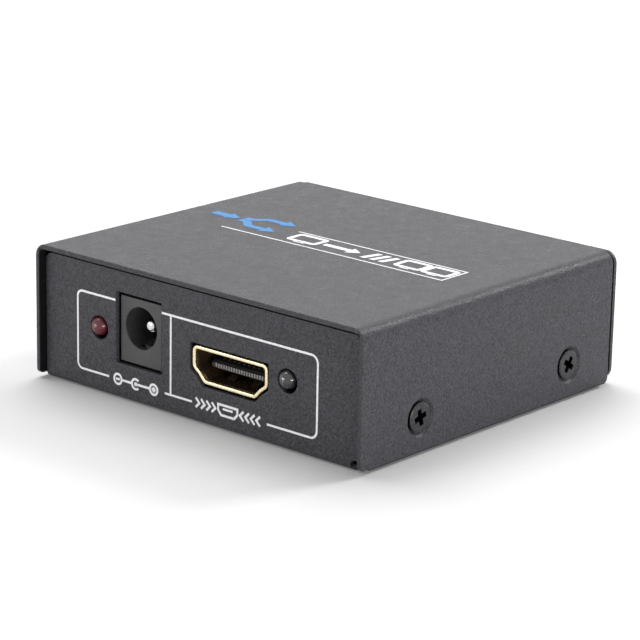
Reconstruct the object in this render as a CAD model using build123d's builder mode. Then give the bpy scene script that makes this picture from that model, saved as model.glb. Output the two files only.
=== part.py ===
from build123d import *
import os

# A video splitter: a small folded steel case with a circuit board inside. One video
# port, the power socket and two lamps look out of the front panel, and two video ports
# and two lamps look out of the rear panel.
#
# Millimetres. X runs to the right along the front, Y runs back, Z runs up. The origin is
# at the middle of the footprint, on the surface that the case stands on.

os.makedirs("parts", exist_ok=True)

# Case
WIDTH = 67.0                # outside of one side wall to the other
CASE_DEPTH = 61.2           # cover's front edge to the back of the rear panel
HEIGHT = 21.8               # standing surface to the top of the cover
SHEET = 0.8                 # coated steel sheet of both halves
COVER_BEND = 2.0            # outer radius of the cover's two folds
TRAY_BEND = 1.0             # outer radius of the tray's folds
OVERHANG = 1.3              # cover's front edge stands this far in front of the panel
SIDE_GAP = 0.2              # between the tray and a side wall
TOP_GAP = 0.65              # between the front panel and the cover's underside
REAR_GAP = 0.6              # between the cover's rear edge and the rear panel
REAR_INSET = 0.25           # rear panel's outline lies this far inside the cover's
WALL_FOOT = 0.7             # side walls stop this far above the tray's underside
EDGE_ROUND = 0.16           # coating rounds every outer edge of the sheet
CUT_ROUND = 0.14            # and the rims of the cut-outs, less
FOOT_CORNER = 0.8           # rounded lower corners of the side walls
EAR_CORNER = 0.35           # rounded lower corners of the rear panel, beside its fold
TRAY_CORNER = 1.0           # rounded left end of the front fold
NOTCH_RADIUS = 0.85         # round relief notch at the right end of the front fold
NOTCH_INSET = 1.2           # its middle, in from the end of the fold

# Lamps, 3 mm
LAMP_RADIUS = 1.48
LAMP_HOLE = 1.85
LAMP_RISE = 0.25            # a lamp sits this far above the middle of its hole
LAMP_BARREL = 4.0
LAMP_SINK = 0.35            # end of the barrel, where the dome starts, behind the panel's face
LAMP_FLANGE = 1.9
LAMP_FLANGE_THICK = 0.9
LEAD_HALF = 0.25
LEAD_PITCH = 2.54
LEAD_IN_LAMP = 2.3
LEAD_BACK = 1.6             # leads run back this far before they turn down
LEAD_CLEARANCE = 0.02
LEAD_HOLE = 0.5
POWER_LAMP = (-20.7, 10.75)
INPUT_LAMP = (18.2, 10.85)
OUTPUT_LAMPS = [(3.5, 10.85), (-21.5, 10.85)]

# Places worked out from the case: the rear lamps' domes are what reaches furthest back
HALF_WIDTH = WIDTH / 2
DEPTH = CASE_DEPTH + LAMP_RADIUS - LAMP_SINK
COVER_FRONT = -DEPTH / 2
PANEL_BACK = COVER_FRONT + CASE_DEPTH
COVER_BACK = PANEL_BACK - SHEET - REAR_GAP
PANEL_FRONT = COVER_FRONT + OVERHANG
TRAY_HALF = HALF_WIDTH - SHEET - SIDE_GAP
PANEL_TOP = HEIGHT - SHEET - TOP_GAP
FRONT_PLANE = Plane((0, PANEL_FRONT, 0), x_dir=(1, 0, 0), z_dir=(0, -1, 0))
REAR_PLANE = Plane((0, PANEL_BACK, 0), x_dir=(-1, 0, 0), z_dir=(0, 1, 0))

# Side screws, countersunk M2.5
SCREW_SETBACKS = (13.2, 49.2)                   # behind the cover's front edge
SCREW_HEIGHT = 5.85
SCREW_PLACES = [(COVER_FRONT + setback, SCREW_HEIGHT) for setback in SCREW_SETBACKS]
SCREW_TURNS = {1: (15.5, -33.0), -1: (40.0, 8.0)}       # how far each cross slot is turned, by side
SCREW_RIM = 2.98            # radius of the countersunk rim in the wall
SCREW_HOLE = 1.7
SCREW_HEAD = 2.3
SCREW_SHANK = 1.2
SCREW_LENGTH = 4.0
SCREW_TIP = 0.3             # bevel at the end of the shank
SCREW_SINK = 0.02           # head's face lies this far below the wall
HEAD_EDGE = 0.6             # straight edge of the head above its cone
HEAD_BEVEL = (0.1, 0.25)    # bevel round the head's face, deep and wide
COUNTERSINK_PLAY = 0.25     # round the cone in the tray's tabs
SHANK_CLEARANCE = 0.06
TAB_WIDTH = 11.0
TAB_TOP = 9.9
TAB_CORNER = 2.0
CROSS_ARM = 0.45            # half width of a cross-slot arm
CROSS_REACH = 1.3
CROSS_DEPTH = 1.3
CROSS_TAPER = 0.09          # the slot is narrower by this much on every side at its end

# Circuit board
BOARD_TOP = 6.0
BOARD_THICK = 1.6
BOARD_HALF = 28.8
BOARD_FRONT = PANEL_FRONT + 2.3
BOARD_BACK = PANEL_BACK - 2.3
BOARD_CORNER = 1.0
BOARD_SCREW_PLACES = [(-25.0, -22.0), (25.0, -22.0), (-25.0, 18.0), (25.0, 18.0)]
BOARD_HOLE = 1.65
LEG_END = BOARD_TOP - BOARD_THICK - 0.9         # every lead ends here, below the board
STANDOFF_RADIUS = 2.6
STANDOFF_BORE = 1.25
SPIGOT_RADIUS = 2.0
SPIGOT_CLEARANCE = 0.05
SPIGOT_RECESS = 0.1         # spigots end this far above the tray's underside
BOARD_SCREW_HEAD = 2.6
BOARD_SCREW_RISE = 1.6
BOARD_SCREW_DOME = 0.7
BOARD_SCREW_LENGTH = 4.2
BOARD_SCREW_PLAY = 0.03     # round the thread in its standoff
BOARD_CROSS = (2.6, 0.7)    # span and width of the cross slot's arms
BOARD_CROSS_DEPTH = 1.0

# Video ports, standard 19-contact size
OPENING_HALF = 7.0          # half of the 14 mm opening
OPENING_RISE = 2.275        # half of the 4.55 mm opening
SHOULDER = (OPENING_HALF, -0.37)                # where the sides start to draw in
ELBOW = (5.95, -1.15)
FLOOR_HALF = 4.9
PORT_CORNER = 0.45
RIM = 0.6                   # width of the rolled rim round the mouth
RIM_DEPTH = 0.9
RIM_ROUND = 0.2
TUBE_WALL = 0.3
SHELL_DEPTH = 11.2
PORT_MARGIN = 0.36          # gap between the rim and the panel's cut-out
CUTOUT_CORNER = 0.25
PORT_HEIGHT = 9.15
PORT_SETBACK = 0.25         # mouth lies this far behind the panel's face
INPUT_X = 6.45
OUTPUT_1_X = 14.5
OUTPUT_2_X = -10.5
TONGUE_FRONT = 2.2          # depth of the tongue's tip behind the mouth
TONGUE_HALF = 5.6
TONGUE_TOP = 0.35
TONGUE_THICK = 1.3
TONGUE_BEVEL = (0.5, 0.35)  # along and across the bevels of the tongue's tip
BLOCK_FRONT = 7.6
BLOCK_PLAY = 0.06           # between the block and the tube
CONTACT_PITCH = 1.0
CONTACT_WIDTH = 0.45
CONTACT_THICK = 0.14
CONTACT_START = 1.6         # contacts start this far behind the tongue's tip
CONTACT_BACK = 12.1
CONTACT_FOOT = 0.8
ROW_SHIFT = 0.5             # the lower row turns down this much further forward
LEG_DEPTHS = (2.6, 9.2)
LEG_WIDTH = 1.0
LEG_HOLE = 0.72
FINGER_HALF = 0.75
FINGER_SLOT = 0.25          # clear slot on each side of a latch finger
FINGER_ROOT = 7.2
FINGER_TIP = 2.7
FINGER_SWAY = 0.55          # how far a finger bends into the opening
FINGER_THICK = 0.22
TOP_FINGER_X = 3.1
FLOOR_FINGER_X = 2.4

# Power socket for a 5.5 mm barrel plug
SOCKET_X = -12.35
SOCKET_BORE_Z = 11.9
SOCKET_HALF = 4.4
SOCKET_TOP = 16.45
SOCKET_SETBACK = 0.7
SOCKET_EDGE = 0.15
SOCKET_FLANGE = 3.4
SOCKET_LENGTH = 14.0
SOCKET_BLOCK_INSET = 0.2    # block behind the flange, inside its sides
SOCKET_BLOCK_DROP = 0.5     # and below its top
SOCKET_BORE = 3.3
BORE_BEVEL = 0.1
BORE_DEPTH = 9.6
SOCKET_CUT_X = -12.2
SOCKET_CUT_HALF = 4.87
SOCKET_CUT_LOW = 5.75
SOCKET_CUT_HIGH = 17.05
SOCKET_CUT_CORNER = 0.3
SOCKET_SHOULDER = 2.6       # rounding of the body's top behind its face
PIN_RADIUS = 1.0
PIN_TIP = 1.7
PIN_ROUND = 0.65
PIN_FIT = 0.02
LEAF_HALF = 1.1
LEAF_THICK = 0.3
LEAF_GROOVE = (1.2, 2.2)    # the leaf's groove starts this deep, and this far below the bore's middle
LEAF_BENDS = ((1.6, 3.15), (3.6, 2.45))         # depth, and distance below the bore's middle
LEAF_REST = 3.35            # the leaf's rear end lies this far below the bore's middle
TERMINAL_HALF = 1.2
TERMINAL_THICK = 0.4
TERMINAL_SLOT = (2.9, 1.0, 0.45)                # length, width and corner of its slot in the board
PIN_TERMINAL_TOP = 1.6
SIDE_TERMINAL_TOP = 0.5
SIDE_TERMINAL_DEPTH = 8.0

# Parts on the board: middle of each, on the board's top
CHIP_PLACE = (2.0, 1.0)
CHIP_HALF = 6.0
CHIP_HEIGHT = 1.4
CHIP_STANDOFF = 0.12
CHIP_LEADS = 16             # on each side
CHIP_PITCH = 0.65
CHIP_LEAD_HALF = 0.13
CHIP_LEAD_REACH = 1.1
CHIP_LEAD_RISE = 0.8        # leads leave the body this far above its underside
CHIP_EDGE = 0.2
CHIP_DOT = (1.3, 0.6, 0.1)  # first-lead dimple: in from the sides, radius, depth
LEAD_SHEET = 0.13
LEAD_KNEE = 0.45            # share of its reach where a lead turns down
MEMORY_PLACE = (-13.5, 3.0)
MEMORY_HALF = (1.95, 2.45)
MEMORY_HEIGHT = 1.45
MEMORY_LEADS = 4            # on each side
MEMORY_PITCH = 1.27
MEMORY_LEAD = (1.05, 0.75, 0.2)                 # reach, rise and half width
REGULATOR_PLACES = [(-22.5, -4.0), (-22.5, 6.0)]
REGULATOR_HALF = (1.75, 3.25)
REGULATOR_HEIGHT = 1.6
REGULATOR_EDGE = 0.25
REGULATOR_PITCH = 2.3
REGULATOR_LEAD = (1.75, 0.9, 0.36)
REGULATOR_TAB_HALF = 1.5
CRYSTAL_PLACE = (14.5, -6.0)
CRYSTAL_SPAN = 11.0
CRYSTAL_WIDE = 4.5
CRYSTAL_HEIGHT = 3.6
CRYSTAL_FLANGE = (0.9, 0.4) # how much wider than the can, and how thick
CRYSTAL_ROUND = 0.5
CRYSTAL_PITCH = 2.44        # each lead is this far from the middle
CRYSTAL_LEAD = 0.22
CRYSTAL_HOLE = 0.4
CAPACITOR_PLACES = [(-14.0, -6.5), (-20.0, 13.0)]
CAPACITOR_RADIUS = 2.5
CAPACITOR_HEIGHT = 5.3
CAPACITOR_BASE = 2.65
CAPACITOR_BASE_THICK = 0.7
CAPACITOR_BASE_CORNER = 0.9
CAPACITOR_GROOVE = (0.6, 1.1, 0.25)             # from, to and depth of the can's crimp
CAPACITOR_EDGE = (0.3, 0.4)
CHOKE_PLACE = (-6.0, -11.5)
CHOKE_HALF = 2.6
CHOKE_HEIGHT = 2.8
CHOKE_CORNER = 0.9
CHOKE_RING = (0.35, 0.75, 0.5)                  # outside and inside of the ring gap, in from the sides, and its depth
DIODE_PLACE = (-22.3, -11.5)
DIODE_SIZE = (2.6, 4.3, 2.2)
DIODE_EDGE = 0.3
SURGE_PLACES = [(6.5, -13.2), (14.5, 14.5), (-10.5, 14.5)]
SURGE_SIZE = (3.0, 3.0, 0.9)
RESISTOR_SIZE = (1.6, 0.85, 0.5)
SMALL_CAPACITOR_SIZE = (1.6, 0.85, 0.8)
SMALL_EDGE = 0.06
RESISTOR_PLACES = [(-2.5, -8.8), (0.0, -8.8), (2.5, -8.8), (5.0, -8.8), (-8.0, 3.0), (-8.0, 5.5),
                   (12.5, 2.0), (12.5, 4.5), (12.5, 7.0), (20.5, 2.0), (20.5, 4.5)]
SMALL_CAPACITOR_PLACES = [(-1.5, 11.2), (1.0, 11.2), (3.5, 11.2), (6.0, 11.2), (-8.0, -2.0), (-8.0, -4.5),
                          (12.5, -1.0), (20.5, -1.5), (20.5, 7.0), (16.5, 2.0), (16.5, 4.5)]
PART_LIFT = 0.02            # solder under a small part


def mouth_plane(panel, x, z, setback):
    """Plane of a mouth that looks out of a panel, at x along the case and z above it."""
    return Plane((x, panel.origin.Y, z), x_dir=panel.x_dir, z_dir=panel.z_dir).offset(-setback)


def side_plane(mouth, x):
    """Plane through a mouth's depth, at x across it: its own x points out of the mouth."""
    return Plane(mouth.from_local_coords((x, 0, 0)), x_dir=mouth.z_dir, z_dir=-mouth.x_dir)


def port_face(plane, grow=0.0, cut=False):
    """The video port's opening, grown all round, as a face on a plane. A cut has sharper corners."""
    with BuildSketch(plane) as face:
        with BuildLine():
            Polyline(
                (OPENING_HALF, OPENING_RISE),
                SHOULDER,
                ELBOW,
                (FLOOR_HALF, -OPENING_RISE),
                (-FLOOR_HALF, -OPENING_RISE),
                (-ELBOW[0], ELBOW[1]),
                (-SHOULDER[0], SHOULDER[1]),
                (-OPENING_HALF, OPENING_RISE),
                close=True,
            )
        make_face()
        if cut:
            offset(amount=grow, kind=Kind.INTERSECTION)
            fillet(face.vertices(), radius=CUTOUT_CORNER)
        else:
            fillet(face.vertices(), radius=PORT_CORNER)
            if grow:
                offset(amount=grow)
    return face.sketch


def case_section(half_width, top, foot, radius):
    """Upright section with rounded top corners, at the cover's front edge."""
    with BuildSketch(Plane.XZ.offset(-COVER_FRONT)) as section:
        with BuildLine():
            FilletPolyline(
                (-half_width, foot), (-half_width, top), (half_width, top), (half_width, foot), radius=radius
            )
            Line((half_width, foot), (-half_width, foot))
        make_face()
    return section.sketch


def rear_lid():
    """Rear panel: wider than the bottom, so that it closes the cover's rear end like a lid."""
    high = HEIGHT - REAR_INSET
    with BuildPart() as lid:
        with BuildSketch(REAR_PLANE) as outline:
            with Locations((0, (WALL_FOOT + high) / 2)):
                Rectangle(2 * (HALF_WIDTH - REAR_INSET), high - WALL_FOOT)
            fillet(outline.vertices().group_by(Axis.Z)[-1], radius=COVER_BEND)
            fillet(outline.vertices().group_by(Axis.Z)[0], radius=EAR_CORNER)
        extrude(amount=-SHEET)
        ends = lid.faces().filter_by(Axis.Y)
        fillet(ends[0].edges() + ends[1].edges(), radius=EDGE_ROUND)
    return lid.part


def wall_plane(side, y, z):
    """Plane on the outside of a side wall, looking outwards: side is 1 or -1."""
    return Plane((side * HALF_WIDTH, y, z), x_dir=(0, side, 0), z_dir=(side, 0, 0))


def leg_places():
    """X and Y of the four legs of every video port."""
    places = []
    for mouth in PORT_MOUTHS.values():
        for side in (-1, 1):
            for depth in LEG_DEPTHS:
                point = mouth.from_local_coords((side * (OPENING_HALF + TUBE_WALL / 2), 0, -depth))
                places.append((point.X, point.Y))
    return places


def lead_places():
    """X and Y of both leads of every lamp."""
    places = []
    for mouth in LAMP_MOUTHS.values():
        for side in (-1, 1):
            point = mouth.from_local_coords((side * LEAD_PITCH / 2, 0, -LAMP_BARREL - LEAD_BACK))
            places.append((point.X, point.Y))
    return places


PORT_MOUTHS = {
    "input": mouth_plane(FRONT_PLANE, INPUT_X, PORT_HEIGHT, PORT_SETBACK),
    "output_1": mouth_plane(REAR_PLANE, OUTPUT_1_X, PORT_HEIGHT, PORT_SETBACK),
    "output_2": mouth_plane(REAR_PLANE, OUTPUT_2_X, PORT_HEIGHT, PORT_SETBACK),
}
LAMP_MOUTHS = {
    "power": mouth_plane(FRONT_PLANE, *POWER_LAMP, LAMP_SINK),
    "input": mouth_plane(FRONT_PLANE, *INPUT_LAMP, LAMP_SINK),
    "output_1": mouth_plane(REAR_PLANE, *OUTPUT_LAMPS[0], LAMP_SINK),
    "output_2": mouth_plane(REAR_PLANE, *OUTPUT_LAMPS[1], LAMP_SINK),
}
SOCKET_MOUTH = mouth_plane(FRONT_PLANE, SOCKET_X, SOCKET_BORE_Z, SOCKET_SETBACK)
SOCKET_FLOOR = BOARD_TOP - SOCKET_BORE_Z        # the board's top, seen from the bore's middle
LEAF_DEPTH = BORE_DEPTH - 0.1                   # where the leaf turns down
TAIL_DEPTH = SOCKET_LENGTH + TERMINAL_THICK     # back of the rear terminal
CRYSTAL_LEAD_PLACES = [(CRYSTAL_PLACE[0] + side * CRYSTAL_PITCH, CRYSTAL_PLACE[1]) for side in (-1, 1)]


# Top cover: the top and both side walls, one folded sheet
with BuildPart() as top_cover:
    extrude(case_section(HALF_WIDTH, HEIGHT, WALL_FOOT, COVER_BEND), amount=COVER_FRONT - COVER_BACK)
    extrude(
        case_section(HALF_WIDTH - SHEET, HEIGHT - SHEET, WALL_FOOT, COVER_BEND - SHEET),
        amount=COVER_FRONT - COVER_BACK,
        mode=Mode.SUBTRACT,
    )
    foot_edges = top_cover.edges().filter_by(Axis.X).group_by(Axis.Z)[0]
    fillet(foot_edges, radius=FOOT_CORNER)
    ends = top_cover.faces().filter_by(Axis.Y).sort_by(Axis.Y)
    fillet(ends[0].edges() + ends[-1].edges(), radius=EDGE_ROUND)
    for side in (-1, 1):
        for y, z in SCREW_PLACES:
            with Locations(wall_plane(side, y, z)):
                CounterSinkHole(SCREW_HOLE, SCREW_RIM, depth=2 * SHEET, counter_sink_angle=90)
top_cover.part.label = "top_cover"
export_step(top_cover.part, "parts/top_cover.step")


# Bottom tray: bottom, front panel and rear panel, one folded sheet, with four screw tabs
with BuildPart() as bottom_tray:
    with BuildSketch(Plane.YZ.offset(-TRAY_HALF)):
        with BuildLine():
            FilletPolyline(
                (PANEL_FRONT, PANEL_TOP),
                (PANEL_FRONT, 0),
                (PANEL_BACK, 0),
                (PANEL_BACK, PANEL_TOP),
                radius=TRAY_BEND,
            )
            Line((PANEL_BACK, PANEL_TOP), (PANEL_BACK - SHEET, PANEL_TOP))
            FilletPolyline(
                (PANEL_BACK - SHEET, PANEL_TOP),
                (PANEL_BACK - SHEET, SHEET),
                (PANEL_FRONT + SHEET, SHEET),
                (PANEL_FRONT + SHEET, PANEL_TOP),
                radius=TRAY_BEND - SHEET,
            )
            Line((PANEL_FRONT + SHEET, PANEL_TOP), (PANEL_FRONT, PANEL_TOP))
        make_face()
    extrude(amount=2 * TRAY_HALF)
    # the front panel's top corners follow the inside of the cover's folds
    front_corners = (
        bottom_tray.edges().filter_by(Axis.Y).group_by(Axis.Z)[-1].filter_by_position(Axis.Y, PANEL_FRONT, 0)
    )
    fillet(front_corners, radius=COVER_BEND - SHEET + SIDE_GAP)
    add(rear_lid())
    # tabs beside the screws
    for side in (-1, 1):
        for y, _ in SCREW_PLACES:
            with BuildSketch(Plane.YZ.offset(side * TRAY_HALF)) as tab:
                with Locations((y, TAB_TOP / 2)):
                    Rectangle(TAB_WIDTH, TAB_TOP)
                fillet(tab.vertices().group_by(Axis.Z)[-1], radius=TAB_CORNER)
            extrude(amount=-side * SHEET)
    # cut-outs of the front panel
    with BuildSketch(FRONT_PLANE):
        with Locations((SOCKET_CUT_X, (SOCKET_CUT_LOW + SOCKET_CUT_HIGH) / 2)):
            RectangleRounded(2 * SOCKET_CUT_HALF, SOCKET_CUT_HIGH - SOCKET_CUT_LOW, SOCKET_CUT_CORNER)
    extrude(amount=-2 * SHEET, mode=Mode.SUBTRACT)
    for mouth in PORT_MOUTHS.values():
        extrude(port_face(mouth, RIM + PORT_MARGIN, cut=True), amount=SHEET, both=True, mode=Mode.SUBTRACT)
    for mouth in LAMP_MOUTHS.values():
        with BuildSketch(mouth):
            with Locations((0, -LAMP_RISE)):
                Circle(LAMP_HOLE)
        extrude(amount=SHEET, both=True, mode=Mode.SUBTRACT)
    # the coating rounds the rims of the cut-outs
    panels = [
        bottom_tray.faces().filter_by(Axis.Y).filter_by_position(Axis.Y, y - 0.01, y + 0.01).sort_by(SortBy.AREA)[-1]
        for y in (PANEL_FRONT, PANEL_BACK)
    ]
    fillet(panels[0].inner_wires().edges() + panels[1].inner_wires().edges(), radius=CUT_ROUND)
    # the front fold ends in a rounded corner at the left and a round relief notch at the right
    with BuildSketch(FRONT_PLANE):
        with Locations((-TRAY_HALF + TRAY_CORNER / 2, TRAY_CORNER / 2)):
            Rectangle(TRAY_CORNER, TRAY_CORNER)
        with Locations((-TRAY_HALF + TRAY_CORNER, TRAY_CORNER)):
            Circle(TRAY_CORNER, mode=Mode.SUBTRACT)
    extrude(amount=-(TRAY_BEND + NOTCH_RADIUS), mode=Mode.SUBTRACT)
    with BuildSketch(FRONT_PLANE):
        with Locations((TRAY_HALF - NOTCH_INSET, NOTCH_RADIUS)):
            Circle(NOTCH_RADIUS)
        with Locations((TRAY_HALF - NOTCH_INSET / 2, NOTCH_RADIUS)):
            Rectangle(NOTCH_INSET, 2 * NOTCH_RADIUS)
    extrude(amount=-(TRAY_BEND + NOTCH_RADIUS), mode=Mode.SUBTRACT)
    # holes for the side screws and the standoff spigots
    for side in (-1, 1):
        for y, z in SCREW_PLACES:
            with Locations(wall_plane(side, y, z).offset(-SHEET - SIDE_GAP)):
                CounterSinkHole(
                    SCREW_SHANK + SHANK_CLEARANCE,
                    SCREW_HEAD - (SHEET + SIDE_GAP - SCREW_SINK - HEAD_EDGE) + COUNTERSINK_PLAY,
                    depth=2 * SHEET,
                    counter_sink_angle=90,
                )
    with BuildSketch(Plane.XY):
        with Locations(*BOARD_SCREW_PLACES):
            Circle(SPIGOT_RADIUS + SPIGOT_CLEARANCE)
    extrude(amount=SHEET, mode=Mode.SUBTRACT)
bottom_tray.part.label = "bottom_tray"
export_step(bottom_tray.part, "parts/bottom_tray.step")


def side_screw(side, y, z, turn):
    """A countersunk cross-head screw in a side wall, its slot turned by that many degrees."""
    face = wall_plane(side, y, z).offset(-SCREW_SINK)
    cone = SCREW_HEAD - SCREW_SHANK
    with BuildPart() as screw:
        with BuildSketch(side_plane(face, 0)):
            with BuildLine():
                Polyline(
                    (0, 0),
                    (0, SCREW_HEAD - HEAD_BEVEL[1]),
                    (-HEAD_BEVEL[0], SCREW_HEAD),
                    (-HEAD_EDGE, SCREW_HEAD),
                    (-HEAD_EDGE - cone, SCREW_SHANK),
                    (-SCREW_LENGTH + SCREW_TIP, SCREW_SHANK),
                    (-SCREW_LENGTH, SCREW_SHANK - SCREW_TIP),
                    (-SCREW_LENGTH, 0),
                    close=True,
                )
            make_face()
        revolve(axis=Axis(face.origin, face.z_dir))
        for depth, narrower in ((0, 0), (CROSS_DEPTH, CROSS_TAPER)):
            with BuildSketch(face.offset(-depth)):
                for reach, arm in ((CROSS_REACH, CROSS_ARM), (CROSS_ARM, CROSS_REACH)):
                    Rectangle(2 * (reach - narrower), 2 * (arm - narrower), rotation=turn)
        loft(ruled=True, mode=Mode.SUBTRACT)
    return screw.part


with BuildPart() as side_screws:
    for side, turns in SCREW_TURNS.items():
        for (y, z), turn in zip(SCREW_PLACES, turns):
            add(side_screw(side, y, z, turn))
side_screws.part.label = "side_screws"
export_step(side_screws.part, "parts/side_screws.step")


# Standoffs pressed into the bottom of the tray
with BuildPart() as board_standoffs:
    with BuildSketch(Plane.XY.offset(SHEET)):
        with Locations(*BOARD_SCREW_PLACES):
            RegularPolygon(STANDOFF_RADIUS, 6)
    extrude(amount=BOARD_TOP - BOARD_THICK - SHEET)
    with BuildSketch(Plane.XY.offset(SPIGOT_RECESS)):
        with Locations(*BOARD_SCREW_PLACES):
            Circle(SPIGOT_RADIUS)
    extrude(amount=SHEET)
    with BuildSketch(Plane.XY):
        with Locations(*BOARD_SCREW_PLACES):
            Circle(STANDOFF_BORE)
    extrude(amount=HEIGHT, mode=Mode.SUBTRACT)
board_standoffs.part.label = "board_standoffs"
export_step(board_standoffs.part, "parts/board_standoffs.step")


# Pan-head screws that hold the board down
with BuildPart() as board_screws:
    with BuildSketch(Plane.XY.offset(BOARD_TOP)):
        with Locations(*BOARD_SCREW_PLACES):
            Circle(BOARD_SCREW_HEAD)
    extrude(amount=BOARD_SCREW_RISE)
    fillet(board_screws.edges().group_by(Axis.Z)[-1], radius=BOARD_SCREW_DOME)
    with BuildSketch(Plane.XY.offset(BOARD_TOP - BOARD_SCREW_LENGTH)):
        with Locations(*BOARD_SCREW_PLACES):
            Circle(STANDOFF_BORE - BOARD_SCREW_PLAY)
    extrude(amount=BOARD_SCREW_LENGTH)
    with BuildSketch(Plane.XY.offset(BOARD_TOP + BOARD_SCREW_RISE)):
        with Locations(*BOARD_SCREW_PLACES):
            Rectangle(BOARD_CROSS[0], BOARD_CROSS[1])
            Rectangle(BOARD_CROSS[1], BOARD_CROSS[0])
    extrude(amount=-BOARD_CROSS_DEPTH, mode=Mode.SUBTRACT)
board_screws.part.label = "board_screws"
export_step(board_screws.part, "parts/board_screws.step")


# Circuit board with its screw holes and the holes for every leg and lead
with BuildPart() as circuit_board:
    with BuildSketch(Plane.XY.offset(BOARD_TOP - BOARD_THICK)):
        with Locations((0, (BOARD_FRONT + BOARD_BACK) / 2)):
            RectangleRounded(2 * BOARD_HALF, BOARD_BACK - BOARD_FRONT, BOARD_CORNER)
        with Locations(*BOARD_SCREW_PLACES):
            Circle(BOARD_HOLE, mode=Mode.SUBTRACT)
        with Locations(*leg_places()):
            Circle(LEG_HOLE, mode=Mode.SUBTRACT)
        with Locations(*lead_places()):
            Circle(LEAD_HOLE, mode=Mode.SUBTRACT)
        # slots of the power socket's leaf and rear terminal
        for depth in (LEAF_DEPTH - LEAF_THICK / 2, TAIL_DEPTH - TERMINAL_THICK / 2):
            slot = SOCKET_MOUTH.from_local_coords((0, 0, -depth))
            with Locations((slot.X, slot.Y)):
                RectangleRounded(TERMINAL_SLOT[0], TERMINAL_SLOT[1], TERMINAL_SLOT[2], mode=Mode.SUBTRACT)
        # slot of the power socket's side terminal
        side_slot = SOCKET_MOUTH.from_local_coords((SOCKET_HALF + TERMINAL_THICK / 2, 0, -SIDE_TERMINAL_DEPTH))
        with Locations((side_slot.X, side_slot.Y)):
            RectangleRounded(TERMINAL_SLOT[1], TERMINAL_SLOT[0], TERMINAL_SLOT[2], mode=Mode.SUBTRACT)
        with Locations(*CRYSTAL_LEAD_PLACES):
            Circle(CRYSTAL_HOLE, mode=Mode.SUBTRACT)
    extrude(amount=BOARD_THICK)
circuit_board.part.label = "circuit_board"
export_step(circuit_board.part, "parts/circuit_board.step")


def latch_finger(mouth, x, wall):
    """A thin strip that springs into the opening: wall is 1 for the roof, -1 for the floor."""
    root = wall * (OPENING_RISE + 0.04)
    tip = wall * (OPENING_RISE - FINGER_SWAY)
    bend = FINGER_TIP + 1.2
    with BuildPart() as finger:
        with BuildSketch(side_plane(mouth, x)):
            with BuildLine():
                Polyline(
                    (-FINGER_ROOT - 0.3, root),
                    (-bend, tip),
                    (-FINGER_TIP, root),
                    (-FINGER_TIP, root + wall * FINGER_THICK),
                    (-bend, tip + wall * FINGER_THICK),
                    (-FINGER_ROOT - 0.3, root + wall * FINGER_THICK),
                    close=True,
                )
            make_face()
        extrude(amount=FINGER_HALF, both=True)
    return finger.part


def video_shell(mouth):
    """Gold-plated shell: a rolled rim, a tube, four legs and four latch fingers."""
    leg_drop = PORT_HEIGHT - LEG_END
    with BuildPart() as shell:
        extrude(port_face(mouth, RIM), amount=-RIM_DEPTH)
        extrude(port_face(mouth, TUBE_WALL), amount=-SHELL_DEPTH)
        extrude(port_face(mouth), amount=-SHELL_DEPTH, mode=Mode.SUBTRACT)
        rim = shell.edges().filter_by_position(Axis.Y, mouth.origin.Y - 0.01, mouth.origin.Y + 0.01)
        fillet(rim, radius=RIM_ROUND)
        for side in (-1, 1):
            for depth in LEG_DEPTHS:
                with BuildSketch(side_plane(mouth, side * (OPENING_HALF + TUBE_WALL / 2))):
                    with Locations((-depth, -(leg_drop + 0.6) / 2)):
                        Rectangle(LEG_WIDTH, leg_drop - 0.6)
                extrude(amount=TUBE_WALL / 2, both=True)
        # windows round the latch fingers
        for x, wall in ((TOP_FINGER_X, 1), (-TOP_FINGER_X, 1), (FLOOR_FINGER_X, -1), (-FLOOR_FINGER_X, -1)):
            window = mouth.from_local_coords((x, wall * (OPENING_RISE + TUBE_WALL / 2), 0))
            with BuildSketch(Plane(window, x_dir=mouth.z_dir, z_dir=(0, 0, 1))):
                with Locations((-(FINGER_ROOT + FINGER_TIP - 0.3) / 2, 0)):
                    Rectangle(FINGER_ROOT - FINGER_TIP + 0.3, 2 * (FINGER_HALF + FINGER_SLOT))
            extrude(amount=TUBE_WALL, both=True, mode=Mode.SUBTRACT)
            add(latch_finger(mouth, x, wall))
    return shell.part


def video_insulator(mouth):
    """Black block that closes the shell's rear and carries the tongue."""
    with BuildPart() as insulator:
        extrude(port_face(mouth.offset(-BLOCK_FRONT), -BLOCK_PLAY), amount=-(SHELL_DEPTH - BLOCK_FRONT + 0.2))
        with BuildSketch(side_plane(mouth, 0)):
            with BuildLine():
                Polyline(
                    (-BLOCK_FRONT - 0.5, TONGUE_TOP),
                    (-TONGUE_FRONT - TONGUE_BEVEL[0], TONGUE_TOP),
                    (-TONGUE_FRONT, TONGUE_TOP - TONGUE_BEVEL[1]),
                    (-TONGUE_FRONT, TONGUE_TOP - TONGUE_THICK + TONGUE_BEVEL[1]),
                    (-TONGUE_FRONT - TONGUE_BEVEL[0], TONGUE_TOP - TONGUE_THICK),
                    (-BLOCK_FRONT - 0.5, TONGUE_TOP - TONGUE_THICK),
                    close=True,
                )
            make_face()
        extrude(amount=TONGUE_HALF, both=True)
        # tunnels through the block for the two rows of contacts
        with BuildSketch(mouth.offset(-BLOCK_FRONT)):
            for row in (TONGUE_TOP + CONTACT_THICK / 2, TONGUE_TOP - TONGUE_THICK - CONTACT_THICK / 2):
                with Locations((0, row)):
                    Rectangle(2 * TONGUE_HALF - 1.0, CONTACT_THICK)
        extrude(amount=-SHELL_DEPTH, mode=Mode.SUBTRACT)
    return insulator.part


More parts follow.
